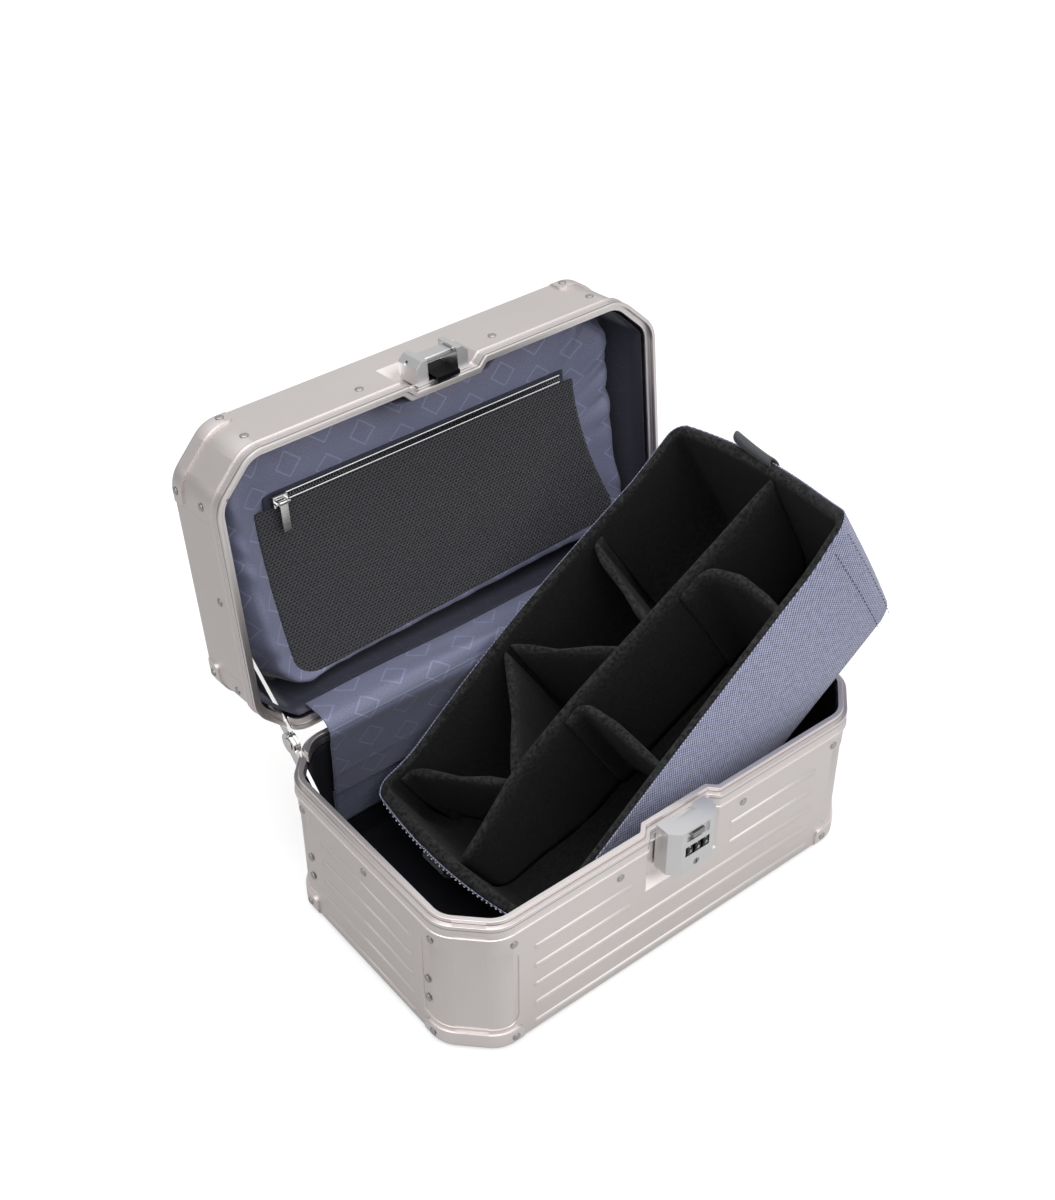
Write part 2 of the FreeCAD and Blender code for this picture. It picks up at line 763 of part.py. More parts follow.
# Zip: tape between panel and mesh, a chain of teeth along it, a slider and its pull.
tape = block(
    "tape_strip",
    (-size("zip_half"), ZIP_LINE - size("zip_width") / 2, POCKET_FACE),
    ("2 * dims.zip_half", "dims.zip_width", "dims.zip_gauge"),
    OPENED,
)
teeth = block(
    "zip_teeth",
    (-size("zip_half"), ZIP_LINE - size("teeth_width") / 2, POCKET_FACE - size("teeth_gauge")),
    ("2 * dims.zip_half", "dims.teeth_width", "dims.teeth_gauge"),
    OPENED,
)
node("zip_tape", fuse("zip_tape", [tape, teeth]))
TEETH_FACE = POCKET_FACE - size("teeth_gauge")
SLIDER_LEFT = -size("zip_half") + 2
SLIDER_LOW = TEETH_FACE - size("running_gap") - size("slider_gauge")
slider_plate = block(
    "slider_plate",
    (SLIDER_LEFT, ZIP_LINE - size("slider_width") / 2, SLIDER_LOW),
    ("dims.slider_length", "dims.slider_width", "dims.slider_gauge"),
    OPENED,
)
BRIDGE_RADIUS = size("pull_gauge") / 2
BRIDGE_Z = SLIDER_LOW - 2 * size("pull_gauge")
bridge_bar = rod(
    "bridge_bar", (SLIDER_LEFT, ZIP_LINE, BRIDGE_Z), (1, 0, 0), BRIDGE_RADIUS, "dims.slider_length", OPENED
)
bridge_legs = []
for x in (SLIDER_LEFT, SLIDER_LEFT + size("slider_length") - 2 * BRIDGE_RADIUS):
    corner = (x, ZIP_LINE - BRIDGE_RADIUS, BRIDGE_Z - BRIDGE_RADIUS)
    lengths = (2 * BRIDGE_RADIUS, 2 * BRIDGE_RADIUS, SLIDER_LOW - BRIDGE_Z + BRIDGE_RADIUS)
    bridge_legs.append(block(f"bridge_leg_{len(bridge_legs)}", corner, lengths, OPENED))
node("zip_slider", fuse("zip_slider", [slider_plate, bridge_bar] + bridge_legs))

# The pull turns on the slider's bridge and hangs down over the mesh.
eye_bore = BRIDGE_RADIUS + size("running_gap")
pull_left = SLIDER_LEFT + (size("slider_length") - size("pull_width")) / 2
pull_plate = block(
    "pull_plate",
    (pull_left, ZIP_LINE, BRIDGE_Z - BRIDGE_RADIUS),
    ("dims.pull_width", "dims.pull_length", "dims.pull_gauge"),
    OPENED,
)
pull_start = (pull_left, ZIP_LINE, BRIDGE_Z)
pull_eye = rod("pull_eye", pull_start, (1, 0, 0), 2 * eye_bore, "dims.pull_width", OPENED)
pull_bore = rod("pull_bore", pull_start, (1, 0, 0), eye_bore, "dims.pull_width", OPENED)
node("zip_pull", cut("zip_pull", fuse("pull_body", [pull_plate, pull_eye]), [pull_bore]))

# Carrying handle: two brackets riveted on the lid, each with a pin, and a bail that hangs from them.
HANDLE_Z = LID_TOP + size("handle_rise")
HANDLE_Y = -size("handle_arm") / 2
HANGING = OPENED.multiply(
    Placement(
        Vector(), Rotation(Vector(1, 0, 0), size("open_angle") - 90), Vector(0, HANDLE_Y, HANDLE_Z)
    )
)
HANDLE_PIN = size("pin_radius")
LUG_ROUND = 2 * HANDLE_PIN
for word, side in (("left", -1), ("right", 1)):
    inner = size("handle_half") - size("handle_gauge") - size("arm_gap")
    lug_low = inner - size("handle_gauge")
    lug_x = lug_low if side > 0 else -inner
    plate = block(
        f"bracket_plate_{word}",
        (lug_x - LUG_ROUND, HANDLE_Y - 2 * LUG_ROUND, LID_TOP),
        (size("handle_gauge") + 2 * LUG_ROUND, 4 * LUG_ROUND, "dims.lid_gauge"),
        OPENED,
    )
    lug_loop = rounded([
        (HANDLE_Y - LUG_ROUND, LID_TOP, 0),
        (HANDLE_Y + LUG_ROUND, LID_TOP, 0),
        (HANDLE_Y + LUG_ROUND, HANDLE_Z + LUG_ROUND, HANDLE_PIN),
        (HANDLE_Y - LUG_ROUND, HANDLE_Z + LUG_ROUND, HANDLE_PIN),
    ])
    lug = prism(f"bracket_lug_{word}", [lug_loop], "dims.handle_gauge", beside(lug_x, OPENED))
    pin_length = size("handle_gauge") * 2 + 2 * size("arm_gap")
    pin_x = lug_x if side > 0 else -lug_low - pin_length
    pin = rod(
        f"bracket_pin_{word}", (pin_x, HANDLE_Y, HANDLE_Z), (1, 0, 0), "dims.pin_radius", pin_length, OPENED
    )
    node(f"handle_bracket_{word}", fuse(f"handle_bracket_{word}", [plate, lug, pin]))

arms = []
bores = []
arm_end = HANDLE_Y + size("handle_arm")
for word, side in (("left", -1), ("right", 1)):
    x = size("handle_half") - size("handle_gauge") if side > 0 else -size("handle_half")
    arm_loop = rounded([
        (HANDLE_Y - LUG_ROUND, HANDLE_Z - LUG_ROUND, HANDLE_PIN),
        (arm_end, HANDLE_Z - LUG_ROUND, HANDLE_PIN),
        (arm_end, HANDLE_Z + LUG_ROUND, HANDLE_PIN),
        (HANDLE_Y - LUG_ROUND, HANDLE_Z + LUG_ROUND, HANDLE_PIN),
    ])
    arms.append(prism(f"handle_arm_{word}", [arm_loop], "dims.handle_gauge", beside(x, HANGING)))
    bores.append(
        rod(
            f"handle_bore_{word}",
            (x, HANDLE_Y, HANDLE_Z),
            (1, 0, 0),
            "dims.pin_radius + dims.running_gap",
            "dims.handle_gauge",
            HANGING,
        )
    )
grip = rod(
    "handle_grip",
    (-size("handle_half"), arm_end, HANDLE_Z),
    (1, 0, 0),
    "dims.handle_grip",
    "2 * dims.handle_half",
    HANGING,
)
node("carry_handle", cut("carry_handle", fuse("handle_body", arms + [grip]), bores))

# Latch on the lid: a housing with two bevelled cheeks, a lever on a pin between them and a tongue
# that drops into the lock.
LATCH_LOW = LID_PANEL_LOW + size("closing_gap")
latch_half = size("latch_half")
cheek = size("cheek_width")
latch_front = RIM_FACE - size("latch_front")
bevel = size("cheek_width") / 2
housing_loop = polygon([
    (-latch_half, RIM_FACE),
    (-latch_half, latch_front + bevel),
    (-latch_half + bevel, latch_front),
    (-latch_half + cheek, latch_front),
    (-latch_half + cheek, RIM_FACE - GAUGE),
    (latch_half - cheek, RIM_FACE - GAUGE),
    (latch_half - cheek, latch_front),
    (latch_half - bevel, latch_front),
    (latch_half, latch_front + bevel),
    (latch_half, RIM_FACE),
])
latch_body = prism(
    "latch_body", [housing_loop], "dims.latch_height - dims.rim_skirt", level(LATCH_LOW, OPENED)
)
LEVER_Z = LATCH_LOW + size("latch_height") - size("rim_skirt") - 2 * size("lever_gauge")
LEVER_Y = latch_front + size("lever_gauge")
lever_half = latch_half - cheek - size("lever_gap")
latch_bore = rod(
    "latch_bore", (-latch_half, LEVER_Y, LEVER_Z), (1, 0, 0), "dims.axle_radius", 2 * latch_half, OPENED
)
node("latch_housing", cut("latch_housing", latch_body, [latch_bore, lid_frame]))
latch_pin_length = 2 * latch_half - cheek
node(
    "latch_pin",
    rod(
        "latch_pin",
        (-latch_pin_length / 2, LEVER_Y, LEVER_Z),
        (1, 0, 0),
        "dims.axle_radius",
        latch_pin_length,
        OPENED,
    ),
)
lever_round = size("lever_gauge") / 2
lever_loop = rounded([
    (LEVER_Y - lever_round, LEVER_Z - size("lever_reach"), lever_round / 2),
    (LEVER_Y + lever_round, LEVER_Z - size("lever_reach"), lever_round / 2),
    (LEVER_Y + lever_round, LEVER_Z + 2 * lever_round, lever_round / 2),
    (LEVER_Y - lever_round, LEVER_Z + 2 * lever_round, lever_round / 2),
])
lever_body = prism("lever_body", [lever_loop], 2 * lever_half, beside(-lever_half, OPENED))
lever_bore = rod(
    "lever_bore",
    (-lever_half, LEVER_Y, LEVER_Z),
    (1, 0, 0),
    "dims.axle_radius + dims.running_gap",
    2 * lever_half,
    OPENED,
)
node("latch_lever", cut("latch_lever", lever_body, [lever_bore]))

# The tongue hangs from the back of the housing and stands in the slot of the lock when closed.
SLOT_BACK = RIM_FACE - size("tongue_clearance")
tongue_half = size("slot_half") - size("tongue_clearance")
tongue_depth = size("slot_depth") - size("tongue_clearance")
tongue_low = size("lock_top") - tongue_depth
node(
    "latch_tongue",
    block(
        "latch_tongue",
        (-tongue_half, SLOT_BACK - size("slot_width") + 2 * size("tongue_clearance"), tongue_low),
        (2 * tongue_half, size("slot_width") - 3 * size("tongue_clearance"), LATCH_LOW + cheek - tongue_low),
        OPENED,
    ),
)

# Lock on the base: a bevelled housing in the pocket of the front wall, with a slot for the tongue,
# a striker post, three number wheels on an axle and a key barrel.
LOCK_LOW = size("lock_top") - size("lock_height")
lock_face = RIM_FACE - size("lock_front")
half_back = size("lock_half_back")
half_front = size("lock_half_front")
lock_bevel = half_back - half_front
lock_loop = polygon([
    (-half_back, RIM_FACE),
    (-half_back, lock_face + lock_bevel),
    (-half_front, lock_face),
    (half_front, lock_face),
    (half_back, lock_face + lock_bevel),
    (half_back, RIM_FACE),
])
lock_block = prism("lock_block", [lock_loop], "dims.lock_height", level(LOCK_LOW))
slot_front = SLOT_BACK - size("slot_width") + size("tongue_clearance")
lock_slot = block(
    "lock_slot",
    (-size("slot_half"), slot_front, size("lock_top") - size("slot_depth")),
    ("2 * dims.slot_half", "dims.slot_width", "dims.slot_depth"),
)
DIAL_Z = size("dial_height")
DIAL_Y = lock_face + size("dial_radius") - 2 * size("axle_radius") / 3
window_half = size("dial_radius") + size("lever_gap")
dial_room = rod(
    "dial_room",
    (-size("dial_pitch") * 1.5, DIAL_Y, DIAL_Z),
    (1, 0, 0),
    window_half,
    "3 * dims.dial_pitch",
)
axle_half = half_front - size("axle_radius")
axle_bore = rod(
    "axle_bore", (-axle_half, DIAL_Y, DIAL_Z), (1, 0, 0), "dims.axle_radius", 2 * axle_half
)
barrel_bore = rod(
    "barrel_bore",
    (0, lock_face, size("barrel_height")),
    (0, 1, 0),
    "dims.barrel_radius + dims.running_gap",
    "dims.barrel_length",
)
recess_low = DIAL_Z + window_half + size("axle_radius")
post_recess = block(
    "post_recess",
    (-size("slot_half"), lock_face, recess_low),
    ("2 * dims.slot_half", "dims.post_radius", size("lock_top") - recess_low - GAUGE),
)
node(
    "lock_body",
    cut("lock_body", lock_block, [lock_slot, dial_room, axle_bore, barrel_bore, post_recess, base_frame]),
)
post_height = (recess_low + size("lock_top") - GAUGE) / 2
node(
    "lock_release",
    block(
        "lock_release",
        (-size("slot_half") / 2, lock_face - GAUGE / 2, post_height - size("post_radius")),
        ("dims.slot_half", size("post_radius") + GAUGE / 2, "2 * dims.post_radius"),
    ),
)
node(
    "dial_axle",
    rod("dial_axle", (-axle_half, DIAL_Y, DIAL_Z), (1, 0, 0), "dims.axle_radius", 2 * axle_half),
)
DIAL_SIDES = 10
for index in range(3):
    x = (index - 1) * size("dial_pitch") - size("dial_width") / 2
    corners = []
    for step in range(DIAL_SIDES):
        turn = 2 * math.pi * step / DIAL_SIDES
        corners.append((size("dial_radius") * math.cos(turn), size("dial_radius") * math.sin(turn)))
    wheel = prism(
        f"dial_wheel_{index + 1}",
        [polygon(corners), circle(0, 0, size("axle_radius") + size("running_gap"))],
        "dims.dial_width",
        Placement(Vector(x, DIAL_Y, DIAL_Z), UPRIGHT_SIDE),
    )
    node(f"lock_dial_{index + 1}", wheel)
key_barrel = rod(
    "key_barrel_plug",
    (0, lock_face, size("barrel_height")),
    (0, 1, 0),
    "dims.barrel_radius",
    "dims.barrel_length",
)
keyway = block(
    "keyway",
    (-size("running_gap") * 8, lock_face, size("barrel_height") - size("axle_radius")),
    (size("running_gap") * 16, "dims.barrel_length / 2", "2 * dims.axle_radius"),
)
node("key_barrel", cut("key_barrel", key_barrel, [keyway]))


# Hinges: at each rear corner a flat arm from either half meets on a pin just behind the case. Each
# arm runs through a slot in the corner to a standoff on the inside of the side wall.
def hinge_arm(name, side, x_low, rise, bore_gap, frame):
    """Arm drawn in side view from its disc on the pin to its standoff; rise is -1 for the base."""
    reach = size("arm_reach")
    half = size("arm_half_width")
    foot_y = HINGE_Y - reach
    foot_z = HINGE_Z + rise * reach
    slant = half / math.sqrt(2)
    bar_loop = polygon([
        (HINGE_Y - slant, HINGE_Z - rise * slant),
        (HINGE_Y + slant, HINGE_Z + rise * slant),
        (foot_y + slant, foot_z + rise * slant),
        (foot_y - slant, foot_z - rise * slant),
    ])
    place = beside(x_low, frame)
    gauge = "dims.arm_gauge"
    bar = prism(name + "_bar", [bar_loop], gauge, place)
    disc = rod(name + "_disc", (x_low, HINGE_Y, HINGE_Z), (1, 0, 0), "dims.disc_radius", gauge, frame)
    foot_disc = rod(name + "_foot", (x_low, foot_y, foot_z), (1, 0, 0), "dims.arm_half_width", gauge, frame)
    wall = HALF_X - LINING_IN
    start = x_low + size("arm_gauge") / 2 if side > 0 else -wall
    length = wall - abs(x_low + size("arm_gauge") / 2)
    standoff = rod(
        name + "_standoff", (start, foot_y, foot_z), (1, 0, 0), size("arm_half_width") - 1, length, frame
    )
    bore = rod(
        name + "_bore", (x_low, HINGE_Y, HINGE_Z), (1, 0, 0), size("pin_radius") + bore_gap, gauge, frame
    )
    return cut(name, fuse(name + "_body", [bar, disc, foot_disc, standoff]), [bore])


ARM_STEP = (size("arm_gauge") + size("arm_gap")) / 2
for word, side in (("left", -1), ("right", 1)):
    base_x = side * (HINGE_X + ARM_STEP) - size("arm_gauge") / 2
    lid_x = side * (HINGE_X - ARM_STEP) - size("arm_gauge") / 2
    base_arm = hinge_arm(f"hinge_arm_base_{word}", side, base_x, -1, 0, CLOSED)
    node(f"hinge_arm_base_{word}", base_arm)
    lid_arm = hinge_arm(f"hinge_arm_lid_{word}", side, lid_x, 1, size("running_gap"), OPENED)
    node(f"hinge_arm_lid_{word}", lid_arm)
    pin_length = 2 * size("arm_gauge") + 3 * size("arm_gap")
    pin_start = min(base_x, lid_x) - size("arm_gap")
    shank = rod(f"pin_shank_{word}", (pin_start, HINGE_Y, HINGE_Z), (1, 0, 0), "dims.pin_radius", pin_length)
    heads = []
    for x, direction in ((pin_start, -1), (pin_start + pin_length, 1)):
        head = rivet_head(size("pin_radius") * 1.6, (x, HINGE_Y, HINGE_Z), (direction, 0, 0))
        heads.append(formed(f"pin_head_{word}_{len(heads)}", head))
    node(f"hinge_pin_{word}", fuse(f"hinge_pin_{word}", [shank] + heads))

# Cloth bridge: a flap that hides the gap behind the case, from the lid's lining over the rear frame
# down to a heavier band on the rear wall of the base.
band_rear = HALF_Y - LINING_IN - size("lining_gap")
node(
    "rear_band",
    block(
        "rear_band",
        (-size("flap_half"), band_rear - size("lining_gauge"), size("band_low")),
        ("2 * dims.flap_half", "dims.lining_gauge", "dims.band_high - dims.band_low"),
    ),
)
flap_face = band_rear - size("lining_gauge") - size("lining_gap")
LID_MOUTH = OPENED.multVec(Vector(0, HALF_Y - INSIDE - 3 * size("flap_gauge"), LID_PANEL_LOW))
flap_line = [
    (flap_face, size("band_high") - size("rim_skirt")),
    (flap_face, BAND_TOP - size("rim_band")),
    (HALF_Y - INSIDE - size("flap_gauge"), TONGUE_TOP + 2 * size("flap_gauge")),
    (LID_MOUTH.y - size("flap_gauge"), LID_MOUTH.z + 2 * size("flap_gauge")),
    (LID_MOUTH.y + size("rim_leg"), LID_MOUTH.z + size("rim_skirt")),
]


def offset_line(points, distance):
    """Open line moved to its left by distance, with mitred corners."""
    moved = []
    for index, (y, z) in enumerate(points):
        steps = []
        for first, last in zip(points[max(index - 1, 0):index + 1], points[max(index, 1):index + 2]):
            steps.append(Vector(last[0] - first[0], last[1] - first[1], 0).normalize())
        normals = [Vector(-step.y, step.x, 0) for step in steps]
        mitre = (normals[0] + normals[-1]).normalize()
        reach = distance / mitre.dot(normals[0])
        moved.append((y + mitre.x * reach, z + mitre.y * reach))
    return moved


flap_loop = polygon(flap_line + offset_line(flap_line, size("flap_gauge"))[::-1])
node("hinge_flap", prism("hinge_flap", [flap_loop], "2 * dims.flap_half", beside(-size("flap_half"))))

# Divider insert: a padded tray of foam and cloth. Its left end stands on the floor of the base and
# it leans over the right rim, so its soft floor bends where it leaves the bottom of the case.
REST_X = HALF_X - INSIDE - size("insert_left")
REST_Z = TONGUE_TOP + 2 * size("soft_gap") - size("insert_edge")
TILT = math.atan2(REST_Z, REST_X) + math.asin(size("insert_depth") / math.hypot(REST_X, REST_Z))
TRAY = Placement(
    Vector(size("insert_left"), 0, size("insert_edge")), Rotation(Vector(0, 1, 0), -math.degrees(TILT))
)
tray_floor = LINING_FLOOR + size("soft_gap")
drop = size("insert_edge") - tray_floor
full_drop = size("insert_lean") * math.sin(TILT) + size("insert_depth") * math.cos(TILT)
left_share = drop / full_drop
bend_place = (size("insert_depth") * math.cos(TILT) - drop) / math.sin(TILT)
tray_profile = [
    (0, 0),
    (-size("insert_lean") * left_share, -size("insert_depth") * left_share),
    (bend_place, -size("insert_depth")),
    (size("insert_length") - size("insert_lean"), -size("insert_depth")),
    (size("insert_length"), 0),
]


def drawn_in(points, distances):
    """Polygon whose sides are moved inwards, each by its own distance."""
    count = len(points)
    sides = []
    for index in range(count):
        start = Vector(*points[index], 0)
        along = (Vector(*points[(index + 1) % count], 0) - start).normalize()
        sides.append((start + Vector(-along.y, along.x, 0) * distances[index], along))
    corners = []
    for index in range(count):
        first, first_along = sides[index - 1]
        second, second_along = sides[index]
        gap = second - first
        turn = first_along.x * second_along.y - first_along.y * second_along.x
        reach = (gap.x * second_along.y - gap.y * second_along.x) / turn
        corners.append((first.x + first_along.x * reach, first.y + first_along.y * reach))
    return corners


def tray_room(name, inset, y_rear, y_front):
    """Space inside the tray's profile, open at the top, between two faces."""
    wall = size("insert_wall") + inset
    inner = drawn_in(tray_profile, [wall, wall, wall, wall, -wall])
    return prism(name, [polygon(inner)], y_rear - y_front, facing(y_rear, TRAY))


tray_block = prism(
    "tray_block",
    [polygon(tray_profile)],
    "dims.insert_rear - dims.insert_front",
    facing(size("insert_rear"), TRAY),
)
bevels = []
bend_tangent = (size("corner_bend") - INSIDE) * (math.sqrt(2) - 1)
bend_start = HALF_Y - INSIDE - size("corner_leg") + INSIDE * (2 - math.sqrt(2)) - bend_tangent
for word, face, side in (("rear", size("insert_rear"), 1), ("front", size("insert_front"), -1)):
    bevel_width = max(abs(face) - bend_start, GAUGE)
    bevel_top = bevel_width * math.sin(TILT) - size("insert_depth")
    bevel_loop = polygon([
        (face - side * bevel_width, -size("insert_depth")),
        (face + side, -size("insert_depth")),
        (face + side, bevel_top),
        (face, bevel_top),
    ])
    place = TRAY.multiply(Placement(Vector(-size("insert_lean"), 0, 0), UPRIGHT_SIDE))
    bevels.append(prism(f"bevel_{word}", [bevel_loop], "dims.insert_length + dims.insert_lean", place))
tray_solid = cut("tray_solid", tray_block, bevels)
room_rear = size("insert_rear") - size("insert_wall")
room_front = size("insert_front") + size("insert_wall")
node("insert_tray", cut("insert_tray", tray_solid, [tray_room("tray_hollow", 0, room_rear, room_front)]))

SOFT = size("soft_gap")
divider_low = size("divider_place") - size("divider_gauge") / 2
divider_high = size("divider_place") + size("divider_gauge") / 2
divider_top = drawn_in(
    tray_profile,
    [size("insert_wall") + SOFT] * 4 + [size("divider_drop") / 3],
)
node(
    "insert_long_divider",
    prism("insert_long_divider", [polygon(divider_top)], "dims.divider_gauge", facing(divider_high, TRAY)),
)
rear_room = tray_room("rear_room", SOFT, room_rear - SOFT, divider_high + SOFT)
front_room = tray_room("front_room", SOFT, divider_low - SOFT, room_front + SOFT)


def cross_divider(name, start, finish, room):
    """Soft partition standing across one row of the tray, from (along, y) to (along, y)."""
    first = Vector(*start, 0)
    last = Vector(*finish, 0)
    along = (last - first).normalize()
    thick = Vector(-along.y, along.x, 0) * (size("divider_gauge") / 2)
    corners = [first + thick, first - thick, last - thick, last + thick]
    loop = polygon([(corner.x, corner.y) for corner in corners])
    place = TRAY.multiply(Placement(Vector(0, 0, -size("insert_depth")), FLAT))
    slab = prism(name + "_slab", [loop], "dims.insert_depth - dims.divider_drop", place)
    return common(name, slab, room)


LONG = size("insert_length")
rear_line = room_rear
front_line = room_front
middle = size("divider_place")
cross_places = [
    ((0.067 * LONG, rear_line), (0.187 * LONG, middle), rear_room),
    ((0.205 * LONG, middle), (0.394 * LONG, rear_line), rear_room),
    ((0.415 * LONG, rear_line), (0.547 * LONG, middle), rear_room),
    ((0.688 * LONG, rear_line), (0.633 * LONG, middle), rear_room),
    ((0.413 * LONG, middle), (0.41 * LONG, front_line), front_room),
    ((0.77 * LONG, middle), (0.807 * LONG, front_line), front_room),
]
for index, (start, finish, room) in enumerate(cross_places):
    name = f"insert_cross_divider_{index + 1}"
    node(name, cross_divider(name, start, finish, room))


def webbing_loop(name, along, drop_by):
    """Strap loop sewn outside an end wall, its middle at (along, drop) in the tray's side view."""
    outer = size("loop_radius")
    inner = outer - size("loop_gauge")
    loops = [circle(along, drop_by, outer), circle(along, drop_by, inner)]
    return prism(name, loops, "dims.loop_width", facing(size("loop_place") + size("loop_width") / 2, TRAY))


LOOP_STAND = size("loop_radius") + SOFT
loop_drop = 2 * size("loop_radius")
wall_slope = size("insert_lean") / size("insert_depth")
left_stand = -wall_slope * loop_drop - LOOP_STAND * math.hypot(1, wall_slope)
node("insert_loop_left", webbing_loop("insert_loop_left", left_stand, -loop_drop))
node("insert_loop_right", webbing_loop("insert_loop_right", LONG + LOOP_STAND, 0))

doc.recompute()
for item in doc.Objects:
    faults = [word for word in item.State if word in ("Invalid", "Error")]
    if faults:
        raise RuntimeError(f"{item.Label}: {faults}")
for item in nodes:
    if item.Shape.isNull() or not item.Shape.isValid() or not item.Shape.Solids:
        raise RuntimeError(f"{item.Label}: no valid solid")

os.makedirs("parts", exist_ok=True)
for item in nodes:
    item.Shape.exportStep(os.path.join("parts", item.Label + ".step"))
print(len(nodes), "pieces")
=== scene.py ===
import math
import bmesh
import bpy
import numpy as np
from mathutils import Matrix, Vector


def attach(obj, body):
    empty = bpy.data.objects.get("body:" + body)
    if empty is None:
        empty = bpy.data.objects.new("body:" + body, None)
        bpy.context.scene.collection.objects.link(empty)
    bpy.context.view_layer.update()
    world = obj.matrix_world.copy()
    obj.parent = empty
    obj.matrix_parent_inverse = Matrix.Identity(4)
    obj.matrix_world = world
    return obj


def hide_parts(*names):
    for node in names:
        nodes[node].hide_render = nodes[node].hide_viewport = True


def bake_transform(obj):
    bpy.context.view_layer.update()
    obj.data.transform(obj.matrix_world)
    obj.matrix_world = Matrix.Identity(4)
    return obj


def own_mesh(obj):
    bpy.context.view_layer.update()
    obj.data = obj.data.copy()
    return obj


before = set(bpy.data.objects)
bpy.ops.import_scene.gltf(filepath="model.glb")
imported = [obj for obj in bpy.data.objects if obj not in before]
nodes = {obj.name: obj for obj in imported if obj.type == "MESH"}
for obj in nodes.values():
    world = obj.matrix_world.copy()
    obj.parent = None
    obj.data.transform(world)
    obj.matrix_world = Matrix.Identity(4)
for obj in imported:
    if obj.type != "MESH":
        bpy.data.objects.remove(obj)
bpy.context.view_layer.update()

# Studio: the case stands on a plain white table under large soft lamps, seen from above its left front
# corner by a camera with a short telephoto lens. The picture is 1055 by 1200.
view_az, view_el, view_roll = (math.radians(angle) for angle in (-38.65, 38.60, -0.22))
level_reach = math.cos(view_el)
back = Vector((math.sin(view_az) * level_reach, -math.cos(view_az) * level_reach, math.sin(view_el)))
right = Vector((0, 0, 1)).cross(back).normalized()
up = back.cross(right)
across = right * math.cos(view_roll) + up * math.sin(view_roll)
upward = up * math.cos(view_roll) - right * math.sin(view_roll)
case_middle, eye_across, eye_up, eye_back = Vector((0, 0, 0.1)), -0.03464, 0.10172, 1.2055
eye = case_middle + across * eye_across + upward * eye_up + back * eye_back
focal_pixels, sensor_height, picture_height = 1741.22, 36, 1200
camera_data = bpy.data.cameras.new("camera")
camera_data.lens = focal_pixels * sensor_height / picture_height
camera_data.clip_start = 0.05
camera = bpy.data.objects.new("camera", camera_data)
camera.matrix_world = Matrix((
    (across.x, upward.x, back.x, eye.x),
    (across.y, upward.y, back.y, eye.y),
    (across.z, upward.z, back.z, eye.z),
    (0, 0, 0, 1),
))
bpy.context.scene.collection.objects.link(camera)
bpy.context.scene.camera = camera
bpy.context.scene.view_settings.view_transform = "Standard"


def soft_lamp(name, place, target, width, power):
    """Square area lamp at place, turned to face target."""
    lamp_data = bpy.data.lights.new(name, "AREA")
    lamp_data.size = width
    lamp_data.energy = power
    lamp = bpy.data.objects.new(name, lamp_data)
    lamp.location = place
    lamp.rotation_euler = (Vector(target) - Vector(place)).to_track_quat("-Z", "Y").to_euler()
    bpy.context.scene.collection.objects.link(lamp)


soft_lamp("lamp_over", (-0.5, -0.3, 1.9), (0, 0, 0.1), 1.9, 19)
soft_lamp("lamp_left", (-1.9, 0.1, 0.9), (0, 0, 0.12), 2.0, 3.5)
soft_lamp("lamp_front", (0.6, -1.9, 1.2), (0, 0, 0.12), 2.0, 9)
world = bpy.data.worlds.new("studio")
world.use_nodes = True
world_tree = world.node_tree
bpy.context.scene.world = world


def put_node(tree, kind, links=(), **settings):
    """Node with settings, its inputs linked from sockets or set to values by (socket, source) pairs."""
    item = tree.nodes.new(kind)
    for label, setting in settings.items():
        setattr(item, label, setting)
    for socket, source in links:
        if isinstance(source, bpy.types.NodeSocket):
            tree.links.new(source, item.inputs[socket])
        else:
            item.inputs[socket].default_value = source
    return item


def sums(tree, operation, first, second=0.0, third=0.0):
    """Output of a Math node on two or three sockets or numbers."""
    links = ((0, first), (1, second), (2, third))
    return put_node(tree, "ShaderNodeMath", links, operation=operation).outputs[0]


def ramp(tree, value, low, high, start=0.0, end=1.0, smooth=False):
    """Value carried from low..high to start..end and held beyond them, on an S-curve where smooth is set."""
    links = [("Value", value), ("From Min", low), ("From Max", high), ("To Min", start), ("To Max", end)]
    curve = "SMOOTHSTEP" if smooth else "LINEAR"
    return put_node(tree, "ShaderNodeMapRange", links, interpolation_type=curve).outputs[0]


# The room is grey to the light it gives and to reflections, paler overhead and on the right, and
# white to the camera.
sky_way = put_node(world_tree, "ShaderNodeTexCoord").outputs["Generated"]
sky = put_node(world_tree, "ShaderNodeSeparateXYZ", [(0, sky_way)])
room_height = ramp(world_tree, sky.outputs[2], -0.2, 0.9, 0.28, 1.0)
room_side = ramp(world_tree, sky.outputs[0], -0.9, 0.5, 0.70, 1.06)
room_light = sums(world_tree, "MULTIPLY", room_height, room_side)
seen = put_node(world_tree, "ShaderNodeLightPath").outputs["Is Camera Ray"]
background = world_tree.nodes["Background"]
background.inputs["Color"].default_value = (1, 1, 1, 1)
world_tree.links.new(sums(world_tree, "MAXIMUM", room_light, seen), background.inputs["Strength"])


